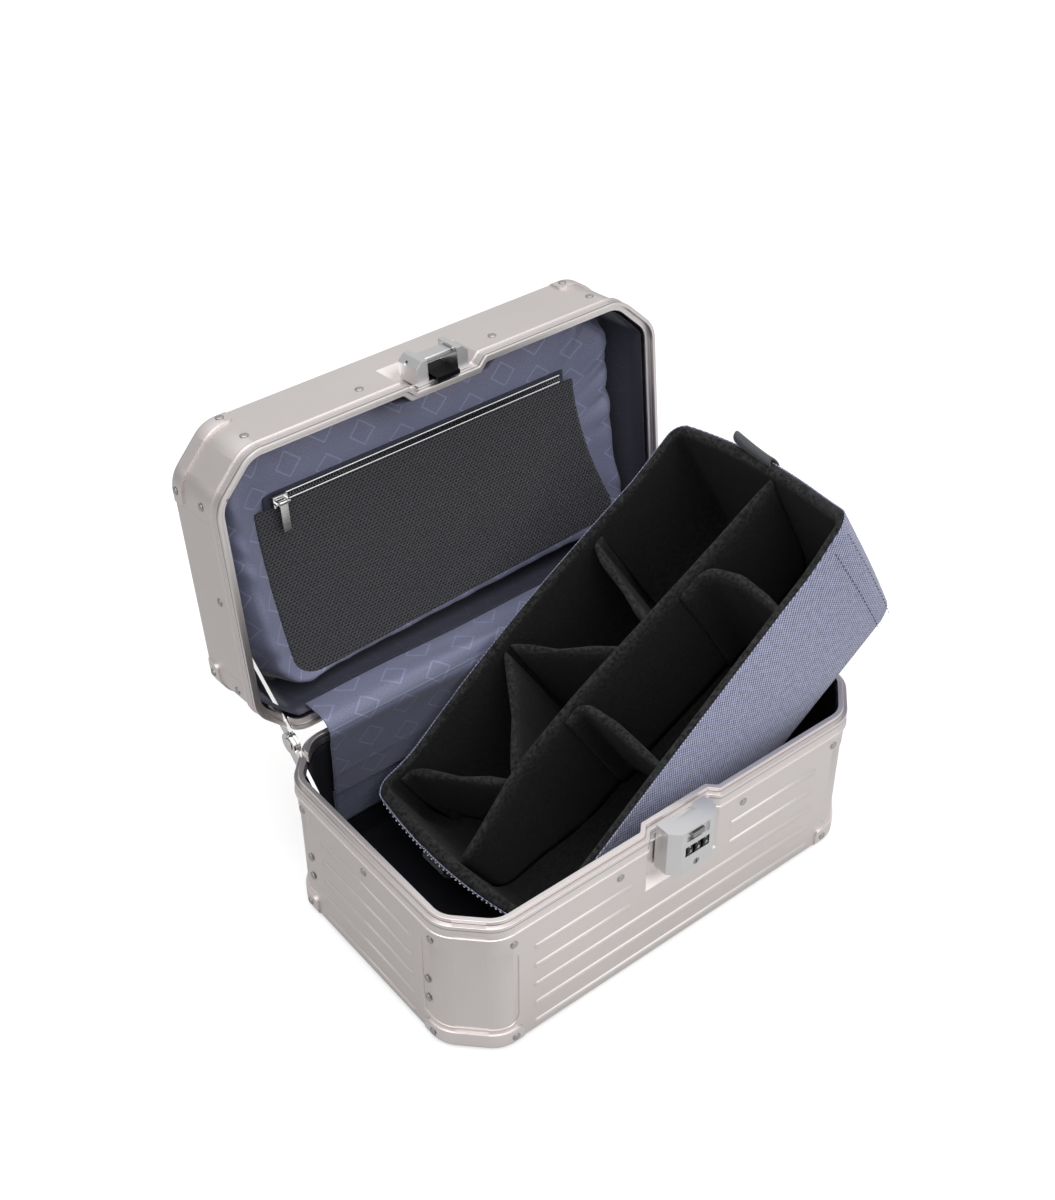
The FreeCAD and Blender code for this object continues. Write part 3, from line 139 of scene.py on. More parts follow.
def put_mesh(name, points, faces, uv=None, smooth=True, shade=None):
    """Object at the origin from vertex and face arrays, with an optional UV and shade value per vertex."""
    mesh = bpy.data.meshes.new(name)
    mesh.from_pydata(points.tolist(), [], faces.tolist())
    if uv is not None:
        layer = mesh.uv_layers.new(name="UVMap")
        loop_vertex = np.zeros(len(mesh.loops), int)
        mesh.loops.foreach_get("vertex_index", loop_vertex)
        layer.data.foreach_set("uv", uv[loop_vertex].astype(np.float32).ravel())
    if shade is not None:
        shade_layer = mesh.attributes.new("shade", "FLOAT", "POINT")
        shade_layer.data.foreach_set("value", shade.astype(np.float32).ravel())
    mesh.polygons.foreach_set("use_smooth", np.full(len(mesh.polygons), smooth))
    mesh.update()
    piece = bpy.data.objects.new(name, mesh)
    bpy.context.scene.collection.objects.link(piece)
    return piece


def new_finish(name):
    """New material, with its node tree and its Principled shader."""
    finish = bpy.data.materials.new(name)
    finish.use_nodes = True
    return finish, finish.node_tree, finish.node_tree.nodes["Principled BSDF"]


table_reach, table_level = 6.0, -0.0006
corner_signs = np.array([(-1, -1), (1, -1), (1, 1), (-1, 1)])
table_points = np.column_stack([corner_signs * table_reach, np.full(4, table_level)])
table = put_mesh("table", table_points, np.array([(0, 1, 2, 3)]))
table_white, table_tree, table_shader = new_finish("table_white")
table_shader.inputs["Roughness"].default_value = 0.8
table_shader.inputs["Emission Color"].default_value = (1, 1, 1, 1)
seen_glow, seen_grey = 0.52, 0.56
table_seen = put_node(table_tree, "ShaderNodeLightPath").outputs["Is Camera Ray"]
table_glow = sums(table_tree, "MULTIPLY", table_seen, seen_glow)
table_tree.links.new(table_glow, table_shader.inputs["Emission Strength"])
table_place = put_node(table_tree, "ShaderNodeTexCoord").outputs["Object"]
table_side = put_node(table_tree, "ShaderNodeSeparateXYZ", [(0, table_place)]).outputs[0]
table_shade = ramp(table_tree, table_side, -0.30, -0.04, 0.42, 0.61, smooth=True)
table_grey = sums(table_tree, "MAXIMUM", table_shade, sums(table_tree, "MULTIPLY", table_seen, seen_grey))
table_tree.links.new(table_grey, table_shader.inputs["Base Color"])
table.data.materials.append(table_white)

# Walls, bottom and top: beaded aluminium sheet, satin anodised in a warm silver. The sheets are
# pressed, wrapped round the corners and riveted to the frames.
sheet_edge = 0.0005


def new_group(name, inputs, outputs):
    """Empty shader node group with named float, colour or vector sockets."""
    tree = bpy.data.node_groups.new(name, "ShaderNodeTree")
    kinds = {"value": "NodeSocketFloat", "colour": "NodeSocketColor", "vector": "NodeSocketVector"}
    for label, kind in inputs:
        tree.interface.new_socket(label, in_out="INPUT", socket_type=kinds[kind])
    for label, kind in outputs:
        tree.interface.new_socket(label, in_out="OUTPUT", socket_type=kinds[kind])
    return tree, tree.nodes.new("NodeGroupInput"), tree.nodes.new("NodeGroupOutput")


def noise(tree, vector, scale, detail, roughness=0.5):
    """Value of a noise with scale cells to the metre."""
    links = [("Vector", vector), ("Scale", scale), ("Detail", detail), ("Roughness", roughness)]
    return put_node(tree, "ShaderNodeTexNoise", links).outputs["Fac"]


# Fine rolled grain: long thin streaks and a broad cloudiness, as a roughness and a height.
grain, grain_in, grain_out = new_group(
    "rolled_grain",
    [("Vector", "vector"), ("Roughness", "value"), ("Spread", "value")],
    [("Roughness", "value"), ("Height", "value"), ("Cloud", "value")],
)
grain_place = grain_in.outputs["Vector"]
streak_map = put_node(grain, "ShaderNodeMapping", [("Vector", grain_place), ("Scale", (40, 40, 900))])
streak = noise(grain, streak_map.outputs[0], 1.0, 3.0)
cloud = noise(grain, grain_place, 9.0, 4.0)
streak_part = sums(grain, "SUBTRACT", streak, 0.5)
cloud_part = sums(grain, "SUBTRACT", cloud, 0.5)
both = sums(grain, "ADD", sums(grain, "MULTIPLY", streak_part, 0.6), sums(grain, "MULTIPLY", cloud_part, 0.8))
rough = sums(grain, "MULTIPLY_ADD", both, grain_in.outputs["Spread"], grain_in.outputs["Roughness"])
grain.links.new(rough, grain_out.inputs["Roughness"])
grain.links.new(streak, grain_out.inputs["Height"])
grain.links.new(cloud, grain_out.inputs["Cloud"])


def tint(tree, shader, mask, dark, light):
    """Base colour between dark and light by a mask."""
    mix = put_node(tree, "ShaderNodeMix", [(0, mask)], data_type="RGBA")
    mix.inputs[6].default_value = (*dark, 1)
    mix.inputs[7].default_value = (*light, 1)
    tree.links.new(mix.outputs[2], shader.inputs["Base Color"])


def relief(tree, shader, height, strength, depth):
    """Normal from a height map; depth is the height of its full range in metres."""
    bump = put_node(tree, "ShaderNodeBump", [("Strength", strength), ("Distance", depth), ("Height", height)])
    tree.links.new(bump.outputs[0], shader.inputs["Normal"])


def metal(name, light, dark, roughness, spread, bump):
    """Metal with rolled grain: base colour between dark and light, roughness varied by spread."""
    finish, tree, shader = new_finish(name)
    shader.inputs["Metallic"].default_value = 1.0
    place = put_node(tree, "ShaderNodeTexCoord").outputs["Object"]
    grain_links = [("Vector", place), ("Roughness", roughness), ("Spread", spread)]
    streaks = put_node(tree, "ShaderNodeGroup", grain_links, node_tree=grain)
    tint(tree, shader, streaks.outputs["Cloud"], dark, light)
    tree.links.new(streaks.outputs["Roughness"], shader.inputs["Roughness"])
    relief(tree, shader, streaks.outputs["Height"], bump, 0.0002)
    return finish


def dress(piece, finish, edge=0.0):
    """Give a CAD node its finish and, where edge is set, a small rounding of its sharp edges."""
    piece.data.materials.clear()
    piece.data.materials.append(finish)
    if edge:
        weld = piece.modifiers.new("weld", "WELD")
        weld.merge_threshold = 0.00001
        soften = piece.modifiers.new("soften", "BEVEL")
        soften.width = edge
        soften.segments = 2
        soften.limit_method = "ANGLE"
        soften.angle_limit = math.radians(35)


sheet_silver = metal("sheet_silver", (0.81, 0.762, 0.746), (0.75, 0.702, 0.686), 0.39, 0.14, 0.10)
walls = [f"{half}_{side}_panel" for half in ("base", "lid") for side in ("front", "rear", "left", "right")]
for word in walls + ["base_bottom", "lid_top"]:
    dress(nodes[word], sheet_silver, sheet_edge)

# Frames and corner caps: drawn and pressed aluminium, a little brighter than the sheets. The two
# frames have fine grooves run along them, and the shade in them is painted as dark lines on the metal.
frame_look = (0.85, 0.80, 0.79), (0.79, 0.74, 0.73), 0.33, 0.12, 0.06
frame_silver = metal("frame_silver", *frame_look)
for word in ("base_corner_caps", "lid_corner_caps"):
    dress(nodes[word], frame_silver, sheet_edge)
open_angle, hinge_y, hinge_z = math.radians(96), 112.6, 116.5


def grooved_silver(name, height_axis, zero, lines):
    """Frame metal with painted shade: dark lines, each a (height, half width) in metres along the axis from
    zero.

    A line is 0.75 dark in its middle and fades out between 0.4 and 1.6 of its half width.
    """
    finish = metal(name, *frame_look)
    tree = finish.node_tree
    shader = tree.nodes["Principled BSDF"]
    place = put_node(tree, "ShaderNodeTexCoord").outputs["Object"]
    from_zero = put_node(tree, "ShaderNodeVectorMath", [(0, place), (1, zero)], operation="SUBTRACT")
    axis_links = [(0, from_zero.outputs[0]), (1, height_axis)]
    height = put_node(tree, "ShaderNodeVectorMath", axis_links, operation="DOT_PRODUCT").outputs["Value"]
    mask = 0.0
    for level, half in lines:
        away = sums(tree, "ABSOLUTE", sums(tree, "SUBTRACT", height, level))
        mask = sums(tree, "ADD", ramp(tree, away, half * 0.4, half * 1.6, 0.75, 0.0, smooth=True), mask)
    plain = shader.inputs["Base Color"].links[0].from_socket
    darkened = put_node(tree, "ShaderNodeMix", [(0, mask), (6, plain)], data_type="RGBA")
    darkened.inputs[7].default_value = (0.17, 0.16, 0.155, 1)
    tree.links.new(darkened.outputs[2], shader.inputs["Base Color"])
    return finish


# Painted shade: dark lines at the grooves of the base's rim and the lid's rim, where shade falls.
rim_top, base_lines = 0.1178, [(0.00025, 0.00045), (-0.0031, 0.0003)]
base_groove_shade = grooved_silver("base_groove_shade", (0, 0, 1), (0, 0, rim_top), base_lines)
dress(nodes["base_rim"], base_groove_shade, sheet_edge)
lid_up = (0, math.sin(open_angle), math.cos(open_angle))
lid_low = 0.0013
lid_zero = (0, hinge_y * 0.001 + lid_low * lid_up[1], hinge_z * 0.001 + lid_low * lid_up[2])
lid_groove_shade = grooved_silver("lid_groove_shade", lid_up, lid_zero, [(0.0021, 0.0005)])
dress(nodes["lid_rim"], lid_groove_shade, sheet_edge)

# Rivets and hinge irons: domed steel rivets that hold sheets and caps to the frames, and at each rear
# corner two pressed arms of bright nickel plated steel, joined by a riveted pin.
bright_nickel = metal("bright_nickel", (0.86, 0.85, 0.84), (0.78, 0.77, 0.76), 0.14, 0.08, 0.03)
rivet_steel = metal("rivet_steel", (0.52, 0.51, 0.50), (0.40, 0.39, 0.38), 0.12, 0.06, 0.03)
for word in ("base_rivets", "lid_rivets"):
    dress(nodes[word], rivet_steel, 0.0003)
for word in ("arm_base_left", "arm_base_right", "arm_lid_left", "arm_lid_right", "pin_left", "pin_right"):
    dress(nodes["hinge_" + word], bright_nickel, 0.0004)

# Lock and latch: zinc castings with a satin plating, the lock set into the base's front and the latch
# riveted to the lid's. Pins, slide and key barrel are plain steel. The shade behind the lever is painted by a
# near-black plate.
cast_satin = metal("cast_satin", (0.74, 0.74, 0.75), (0.66, 0.66, 0.67), 0.30, 0.10, 0.02)
for word in ("lock_body", "latch_housing", "latch_lever"):
    dress(nodes[word], cast_satin, 0.0006)
black_well_shade = metal("black_well_shade", (0.012, 0.012, 0.013), (0.008, 0.008, 0.009), 0.5, 0.10, 0.05)
plain_steel = metal("plain_steel", (0.36, 0.36, 0.37), (0.28, 0.28, 0.29), 0.35, 0.10, 0.05)
for word in ("latch_pin", "dial_axle", "lock_release", "key_barrel"):
    dress(nodes[word], plain_steel, 0.0002)
# The latch tongue gets the same near-black finish.
dress(nodes["latch_tongue"], black_well_shade, 0.0002)


def opened(points):
    """Points of the closed case's lid, turned through the opening angle about the hinge line."""
    y, z = points[..., 1] - hinge_y, points[..., 2] - hinge_z
    turned_y = hinge_y + y * math.cos(open_angle) + z * math.sin(open_angle)
    turned_z = hinge_z - y * math.sin(open_angle) + z * math.cos(open_angle)
    return np.stack([points[..., 0], turned_y, turned_z], -1)


box_corner = np.array([(x, y, z) for x in (-0.5, 0.5) for y in (-0.5, 0.5) for z in (-0.5, 0.5)])
box_face = np.array([(0, 1, 3, 2), (4, 6, 7, 5), (0, 4, 5, 1), (2, 3, 7, 6), (0, 2, 6, 4), (1, 5, 7, 3)])
# Painted shade: a near-black box just in front of the latch's back plate stands for the shade in its opening.
well_size, well_middle = (23.2, 0.8, 20.0), (0, -105.2, 133.7)
well_points = box_corner * well_size + well_middle
well = put_mesh("latch_well_shade", opened(well_points) * 0.001, box_face, smooth=False)
well.data.materials.append(black_well_shade)
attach(well, "lid")

# Base lining: thin near-black navy cloth glued to the walls and the bottom inside the case.
# It starts under the rim and is carried down the walls and over the floor in one piece.
def round_loop(half_x, half_y, corner, middle=(0.0, 0.0), power=2.0, straight=24, arc=9):
    """Rectangle with eased corners in plan: four straight runs and four quarter turns, in order.

    A corner point is its corner centre plus corner times (cos a, sin a) over the power mean of both,
    so power 2 gives a quarter circle and power 1 a straight chamfer.
    """
    share = np.linspace(0, 1, straight, endpoint=False)
    turn = np.linspace(0, math.pi / 2, arc, endpoint=False)
    flat_x, flat_y = half_x - corner, half_y - corner
    runs = []
    for quarter, (side_x, side_y) in enumerate(((1, 1), (-1, 1), (-1, -1), (1, -1))):
        angle = turn + quarter * math.pi / 2
        reach = corner / (np.abs(np.cos(angle)) ** power + np.abs(np.sin(angle)) ** power) ** (1 / power)
        corner_x, corner_y = side_x * flat_x + reach * np.cos(angle), side_y * flat_y + reach * np.sin(angle)
        runs.append(np.stack([corner_x, corner_y], -1))
        if quarter % 2 == 0:
            level = np.full(straight, side_y * half_y)
            runs.append(np.stack([side_x * flat_x * (1 - 2 * share), level], -1))
        else:
            level = np.full(straight, side_x * half_x)
            runs.append(np.stack([level, side_y * flat_y * (1 - 2 * share)], -1))
    loop = np.concatenate(runs)
    return np.concatenate([loop, loop[:1]]) + np.array(middle)


def put_surface(name, points, uv, weld=False, outward=False, shade=None):
    """Grid of points in millimetres, rows by columns, as a smooth mesh in metres with UVs in metres.

    weld merges the seam and the poles; outward then turns a closed form's faces out.
    """
    rows, columns = points.shape[:2]
    row, column = np.meshgrid(np.arange(rows - 1), np.arange(columns - 1), indexing="ij")
    first = row * columns + column
    faces = np.stack([first, first + 1, first + columns + 1, first + columns], -1).reshape(-1, 4)
    piece = put_mesh(name, points.reshape(-1, 3) * 0.001, faces, uv.reshape(-1, 2) * 0.001, shade=shade)
    if weld:
        work = bmesh.new()
        work.from_mesh(piece.data)
        bmesh.ops.remove_doubles(work, verts=work.verts, dist=0.000005)
        bmesh.ops.dissolve_degenerate(work, edges=work.edges, dist=0.000005)
        if outward:
            bmesh.ops.recalc_face_normals(work, faces=work.faces)
        work.to_mesh(piece.data)
        work.free()
    return piece


def run_lengths(points, axis):
    """Distance along a grid's lines in one direction: the summed lengths of the steps between points."""
    steps = np.linalg.norm(np.diff(points, axis=axis), axis=-1)
    zero = np.zeros_like(np.take(steps, [0], axis=axis))
    return np.concatenate([zero, np.cumsum(steps, axis=axis)], axis=axis)


def thicken(piece, gauge, offset=-1.0):
    """Cloth thickness in metres, laid on the side away from the faces for offset -1."""
    solid = piece.modifiers.new("thickness", "SOLIDIFY")
    solid.thickness = gauge
    solid.offset = offset
    return piece


def cloth(name, roughness, sheen):
    """Matt fabric with a soft sheen: its material, nodes, shader and the UV socket, in metres."""
    finish, tree, shader = new_finish(name)
    shader.inputs["Roughness"].default_value = roughness
    shader.inputs["Sheen Weight"].default_value = sheen
    shader.inputs["Sheen Roughness"].default_value = 0.45
    return finish, tree, shader, put_node(tree, "ShaderNodeTexCoord").outputs["UV"]


# Twill weave: diagonal ribs of yarn at a pitch in metres, each rib beaded by the yarns that cross it.
twill, twill_in, twill_out = new_group(
    "twill_weave", [("Vector", "vector"), ("Pitch", "value")], [("Height", "value"), ("Shade", "value")]
)
twill_place = twill_in.outputs["Vector"]
twill_split = put_node(twill, "ShaderNodeSeparateXYZ", [(0, twill_place)])
twill_u = sums(twill, "DIVIDE", twill_split.outputs[0], twill_in.outputs["Pitch"])
twill_v = sums(twill, "DIVIDE", twill_split.outputs[1], twill_in.outputs["Pitch"])
rib_turn = sums(twill, "MULTIPLY", sums(twill, "SUBTRACT", twill_u, twill_v), math.pi)
rib = sums(twill, "ABSOLUTE", sums(twill, "SINE", rib_turn))
bead = sums(twill, "SINE", sums(twill, "MULTIPLY", sums(twill, "ADD", twill_u, twill_v), 2 * math.pi))
rib_height = sums(twill, "MULTIPLY", rib, sums(twill, "MULTIPLY_ADD", bead, 0.22, 0.78))
uneven = sums(twill, "MULTIPLY_ADD", noise(twill, twill_place, 260.0, 3.0), 0.5, -0.25)
twill.links.new(rib_height, twill_out.inputs["Height"])
twill.links.new(sums(twill, "ADD", rib_height, uneven), twill_out.inputs["Shade"])


def twill_cloth(name, roughness, sheen, pitch, dark, light, bump, depth):
    """Cloth with a twill weave at a pitch in metres, coloured from dark to light by its ribs."""
    finish, tree, shader, uv = cloth(name, roughness, sheen)
    ribs = put_node(tree, "ShaderNodeGroup", [("Vector", uv), ("Pitch", pitch)], node_tree=twill)
    tint(tree, shader, ribs.outputs["Shade"], dark, light)
    relief(tree, shader, ribs.outputs["Height"], bump, depth)
    return finish


navy_dark, navy_light = (0.0018, 0.002, 0.0045), (0.0050, 0.0055, 0.0105)
base_navy = twill_cloth("base_navy", 0.75, 0.06, 0.0012, navy_dark, navy_light, 0.35, 0.0003)
base_navy.node_tree.nodes["Principled BSDF"].inputs["Specular IOR Level"].default_value = 0.2


step_in, step_half, step_slope = 6.2, 45, 8


def lock_step(loop, front):
    """Outline with its front run set in behind the lock by step_in, on two slopes at the step's ends."""
    stepped = front + step_in * np.clip((step_half - np.abs(loop[:, 0])) / step_slope, 0, 1)
    return np.stack([loop[:, 0], np.maximum(loop[:, 1], stepped)], -1)


inside_x, inside_y, inside_corner = 174.6, 102.6, 24
wall_loop = lock_step(round_loop(inside_x, inside_y, inside_corner, power=1.1, straight=60), -inside_y)
floor_share = np.array([1.0, 0.985, 0.96, 0.8, 0.5, 0.2, 0.0])
floor_rise = np.array([10.0, 7.2, 5.8, 5.6, 5.6, 5.6, 5.6])
lining_top, lining_foot, wall_lines = 110.5, 14, 12
lining_rise = np.concatenate([np.linspace(lining_top, lining_foot, wall_lines), floor_rise])
lining_share = np.concatenate([np.ones(wall_lines), floor_share])
base_points = np.stack([
    wall_loop[:, 0] * (1 - 0.45 * (1 - lining_share[:, None])),
    wall_loop[:, 1] * lining_share[:, None],
    lining_rise[:, None] + 0 * wall_loop[:, 0],
], -1)
base_uv = np.where(
    (np.arange(len(lining_rise)) < wall_lines)[:, None, None],
    np.stack([run_lengths(base_points, 1), base_points[..., 2]], -1),
    base_points[..., :2],
)
base_cloth = thicken(put_surface("base_lining_cloth", base_points, base_uv, weld=True), 0.0008)
base_cloth.data.materials.append(base_navy)
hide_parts("base_lining")
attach(base_cloth, "base")

# Rear band: a strip of blue denim-like webbing with a raised woven edge along its top. It is glued
# inside the rear wall, over the foot of the hinge flap.
band_dark, band_light = (0.035, 0.042, 0.085), (0.115, 0.128, 0.205)
band_blue = twill_cloth("band_blue", 0.8, 0.25, 0.0022, band_dark, band_light, 0.6, 0.0005)
band_half, band_low, band_top, band_y = 138, 30.5, 64, 101.4
band_x, band_z = np.meshgrid(np.linspace(-band_half, band_half, 70), np.linspace(band_low, band_top, 16))
band_swell = 0.5 * np.sin(band_x / 31) * np.sin((band_z - 30) / 34 * math.pi)
band_edge = 0.7 * np.exp(-(((band_z - 62.6) / 0.9) ** 2))
band_points = np.stack([band_x, band_y - np.abs(band_swell) - band_edge, band_z], -1)
band = thicken(put_surface("rear_band_webbing", band_points, np.stack([band_x, band_z], -1)), 0.0009)
band.data.materials.append(band_blue)
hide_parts("rear_band")
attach(band, "base")

# Lid lining: slate blue satin with a small woven figure, cut large and gathered. It starts in the
# lid's rim, drops into the wall, rolls up round the pocket and lies flat behind the mesh.
satin, satin_tree, satin_shader, satin_uv = cloth("satin_lining", 0.42, 0.35)
figure_split = put_node(satin_tree, "ShaderNodeSeparateXYZ", [(0, satin_uv)])
figure_wide, figure_tall = 0.030, 0.026
figure_u = sums(satin_tree, "DIVIDE", figure_split.outputs[0], figure_wide)
figure_row = sums(satin_tree, "ABSOLUTE", sums(satin_tree, "FLOOR", figure_u))
half_drop = sums(satin_tree, "MULTIPLY", sums(satin_tree, "MODULO", figure_row, 2.0), 0.5)
figure_v = sums(satin_tree, "DIVIDE", figure_split.outputs[1], figure_tall)
figure_v = sums(satin_tree, "ADD", figure_v, half_drop)


def from_cell_middle(tree, value):
    """Place in a repeat that is 1 long, from -0.5 to 0.5 about the middle of the repeat."""
    return sums(tree, "SUBTRACT", sums(tree, "FRACT", value), 0.5)


cell_u = sums(satin_tree, "ABSOLUTE", from_cell_middle(satin_tree, figure_u))
cell_v = sums(satin_tree, "ABSOLUTE", from_cell_middle(satin_tree, figure_v))
lozenge = sums(satin_tree, "ADD", cell_u, cell_v)
figure = sums(satin_tree, "COMPARE", lozenge, 0.34, 0.028)
satin_yarn = noise(satin_tree, satin_uv, 900.0, 2.0)
satin_ground = sums(satin_tree, "MULTIPLY_ADD", satin_yarn, 0.3, 0.21)
satin_mask = sums(satin_tree, "MULTIPLY_ADD", figure, 0.17, satin_ground)
satin_shade = put_node(satin_tree, "ShaderNodeAttribute", attribute_name="shade").outputs["Fac"]
satin_lit = sums(satin_tree, "MULTIPLY", satin_mask, sums(satin_tree, "SUBTRACT", 1.0, satin_shade))
tint(satin_tree, satin_shader, satin_lit, (0.006, 0.006, 0.014), (0.530, 0.560, 0.850))
relief(satin_tree, satin_shader, satin_yarn, 0.25, 0.0002)
satin_gloss = sums(satin_tree, "MULTIPLY_ADD", figure, -0.10, 0.46)
satin_tree.links.new(satin_gloss, satin_shader.inputs["Roughness"])
mouth_x, mouth_y, mouth_corner = 172.8, 100.8, 27
mouth_loop = lock_step(round_loop(mouth_x, mouth_y, mouth_corner, power=1.1, straight=110), -mouth_y)
pocket_half, pocket_half_y, pocket_corner, pocket_middle = 135, 70.3, 16, 20.7
net_half, net_top, net_tall = 136.5, -39, 131
lean_right, lean_fan, rise_all, rise_fan, hang_out = 14.5, 9.5, 9, 6, 17


def pocket_lean(x, y):
    """Place of a point of the square pocket on the lining, and how far it stands out from the lid there.

    Its lower part leans to the right and hangs out. Both grow as a power of the way down from the zip.
    """
    down = np.clip((y - net_top) / net_tall, 0, 1.05)
    lean = down * down * (lean_right + lean_fan * x / pocket_half)
    return x + lean, y - down * (rise_all + rise_fan * x / pocket_half), hang_out * down**1.5


pocket_square = round_loop(pocket_half, pocket_half_y, pocket_corner, middle=(0, pocket_middle), straight=110)
pocket_x, pocket_y, pocket_stand = pocket_lean(pocket_square[:, 0], pocket_square[:, 1])
pocket_loop = np.stack([pocket_x, pocket_y], -1)


def s_curve(share):
    """Share of a way held to 0..1 and eased at both ends: three squares less two cubes."""
    share = np.clip(share, 0, 1)
    return share * share * (3 - 2 * share)


def unit(vectors):
    """Rows of vectors, each made 1 long."""
    return vectors / np.linalg.norm(vectors, axis=1)[:, None]


# From the lid's rim to the pocket's edge: the share of the way, and the closed height of the cloth
# there along the front and rear, where it lies flat, and along the ends, where it rolls.
ring_share = np.array([
    0, 0.02, 0.05, 0.09, 0.14, 0.19, 0.25, 0.30, 0.35, 0.40,
    0.45, 0.52, 0.60, 0.68, 0.76, 0.84, 0.91, 0.96, 1.0,
])
ring_flat = np.array([
    125, 138, 151, 162, 168, 170.5, 170.5, 170, 169, 168,
    167, 165.5, 164, 162.8, 161.8, 161, 160.5, 160.6, 161,
])
ring_roll = np.array([
    125, 140, 155, 166, 170.5, 171.5, 170, 166, 161, 157,
    154.5, 153, 153, 154, 155.5, 157.5, 159.2, 160.4, 161,
])
side = np.clip((np.abs(mouth_loop[:, 0]) - 120) / 50, 0, 1)
around = run_lengths(mouth_loop[None], 1)[0]
corner_pull = np.exp(-((mouth_loop[:, 0] - 165) ** 2 + (mouth_loop[:, 1] + 70) ** 2) / 45**2)
latch_fold = np.exp(-(((mouth_loop[:, 0] + 25) / 26) ** 2)) * (mouth_loop[:, 1] < -60)
gathers = (0.6 + 0.7 * side + 3.2 * corner_pull) * (
    0.65 * np.sin(around / 4.9 + 1.2 * np.sin(around / 15.0)) + 0.5 * np.sin(around / 8.7 + 2.0)
) + 2.6 * latch_fold * np.sin(mouth_loop[:, 0] / 12.0) + 0.6 * corner_pull * np.sin(around / 1.9)
swell = np.sin(math.pi * ring_share.clip(0, 1)) ** 1.2
hung = s_curve((ring_share - 0.40) / 0.28)
ring_z = ring_flat[:, None] + (ring_roll - ring_flat)[:, None] * (0.15 + 0.85 * side)
ring_z = ring_z + gathers * swell[:, None]
ring_z = ring_z - hung[:, None] * pocket_stand
right_wall = np.clip((mouth_loop[:, 0] - 110) / 50, 0, 1)
left_wall = np.clip((-mouth_loop[:, 0] - 110) / 50, 0, 1)
low_wall = np.clip((mouth_loop[:, 1] - 40) / 45, 0, 1)
ring_way = (ring_share[:, None] ** (1 + 0.8 * right_wall))[..., None]
ring_xy = mouth_loop * (1 - ring_way) + pocket_loop * ring_way
flat_share = np.array([0.97, 0.7, 0.35, 0.0])
flat_x = pocket_loop[:, 0] * (1 - 0.5 * (1 - flat_share[:, None]))
flat_y = pocket_middle + (pocket_loop[:, 1] - pocket_middle) * flat_share[:, None]
ring_points = np.concatenate([ring_xy, ring_z[..., None]], -1)
flat_points = np.stack([flat_x, flat_y, 162.4 - 0.9 * pocket_stand * flat_share[:, None] ** 2], -1)
lid_points = np.concatenate([ring_points, flat_points])[::-1]
unrolled = run_lengths(ring_points[::-1], 0)[::-1]
outward = unit(mouth_loop - pocket_loop)
ring_uv = pocket_loop + outward * unrolled[..., None]
lid_uv = np.concatenate([ring_uv, flat_points[..., :2]])[::-1]
deep = np.clip(1 - ring_share / 0.30, 0, 1)[:, None] ** 0.8
dip = np.exp(-(((mouth_loop[:, 0] + 24) / 17) ** 2)) * (mouth_loop[:, 1] < -60)
wall_shade = deep * (0.35 + 0.6 * np.maximum(right_wall, 0.9 * left_wall))
foot_shade = low_wall * np.clip((0.76 - ring_share) / 0.15, 0, 1)[:, None] * 0.86
dip_shade = 0.62 * dip * np.exp(-(((ring_share - 0.30) / 0.26) ** 2))[:, None]
ring_shade = np.maximum(np.maximum(wall_shade, foot_shade), dip_shade)
lid_shade = np.concatenate([ring_shade, np.zeros(flat_points.shape[:2])])[::-1]
lid_cloth = put_surface("lid_lining_cloth", opened(lid_points), lid_uv, weld=True, shade=lid_shade)
thicken(lid_cloth, 0.0006)
lid_cloth.data.materials.append(satin)
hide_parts("lid_lining", "lid_lining_panel")
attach(lid_cloth, "lid")

# Mesh pocket: charcoal warp-knit net with rows of small holes, sewn into the lining under the roll
# and along the zip. It lies a little slack across the middle.
net, net_tree, net_shader, net_uv = cloth("pocket_net", 0.7, 0.3)
net_split = put_node(net_tree, "ShaderNodeSeparateXYZ", [(0, net_uv)])
hole_wide, hole_tall, keep_positive = 0.0032, 0.0021, 400.0
net_row = sums(net_tree, "ADD", sums(net_tree, "DIVIDE", net_split.outputs[1], hole_tall), keep_positive)
row_step = sums(net_tree, "MULTIPLY", sums(net_tree, "MODULO", sums(net_tree, "FLOOR", net_row), 2.0), 0.5)
net_column = sums(net_tree, "ADD", sums(net_tree, "DIVIDE", net_split.outputs[0], hole_wide), row_step)
hole_u = from_cell_middle(net_tree, sums(net_tree, "ADD", net_column, keep_positive))
hole_v = from_cell_middle(net_tree, net_row)
hole_square = sums(net_tree, "MULTIPLY_ADD", hole_u, hole_u, sums(net_tree, "MULTIPLY", hole_v, hole_v))
net_body = ramp(net_tree, sums(net_tree, "SQRT", hole_square), 0.24, 0.46, smooth=True)
net_yarn = noise(net_tree, net_uv, 420.0, 3.0)
net_mask = sums(net_tree, "MULTIPLY", net_body, sums(net_tree, "MULTIPLY_ADD", net_yarn, 0.9, 0.35))
tint(net_tree, net_shader, net_mask, (0.003, 0.003, 0.005), (0.066, 0.066, 0.077))
relief(net_tree, net_shader, net_body, 0.8, 0.0007)
net_run, net_fall = np.linspace(-net_half, net_half, 110), np.linspace(net_top + net_tall, net_top, 60)
net_x, net_y = np.meshgrid(net_run, net_fall)
net_x = net_x * (1 - 0.12 * (1 - np.sqrt(1 - np.clip((net_y - 76) / 16.5, 0, 1) ** 2)))
from_side = np.cos(net_x / net_half * math.pi / 2)
slack = from_side * np.sin(np.clip((net_y - net_top) / net_tall, 0, 1) * math.pi)
fold_line = np.exp(-(((net_y - 25 - 0.22 * net_x) / 16) ** 2)) * from_side
net_depth = 160.3 - 1.9 * slack - 1.1 * fold_line + 0.35 * np.sin(net_x / 17 + net_y / 23) * slack
lean_x, lean_y, net_stand = pocket_lean(net_x, net_y)
net_points = np.stack([lean_x, lean_y, net_depth - net_stand], -1)
pocket = thicken(put_surface("pocket_net_sheet", opened(net_points), net_points[..., :2]), 0.0007)
pocket.data.materials.append(net)
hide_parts("mesh_pocket")
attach(pocket, "lid")

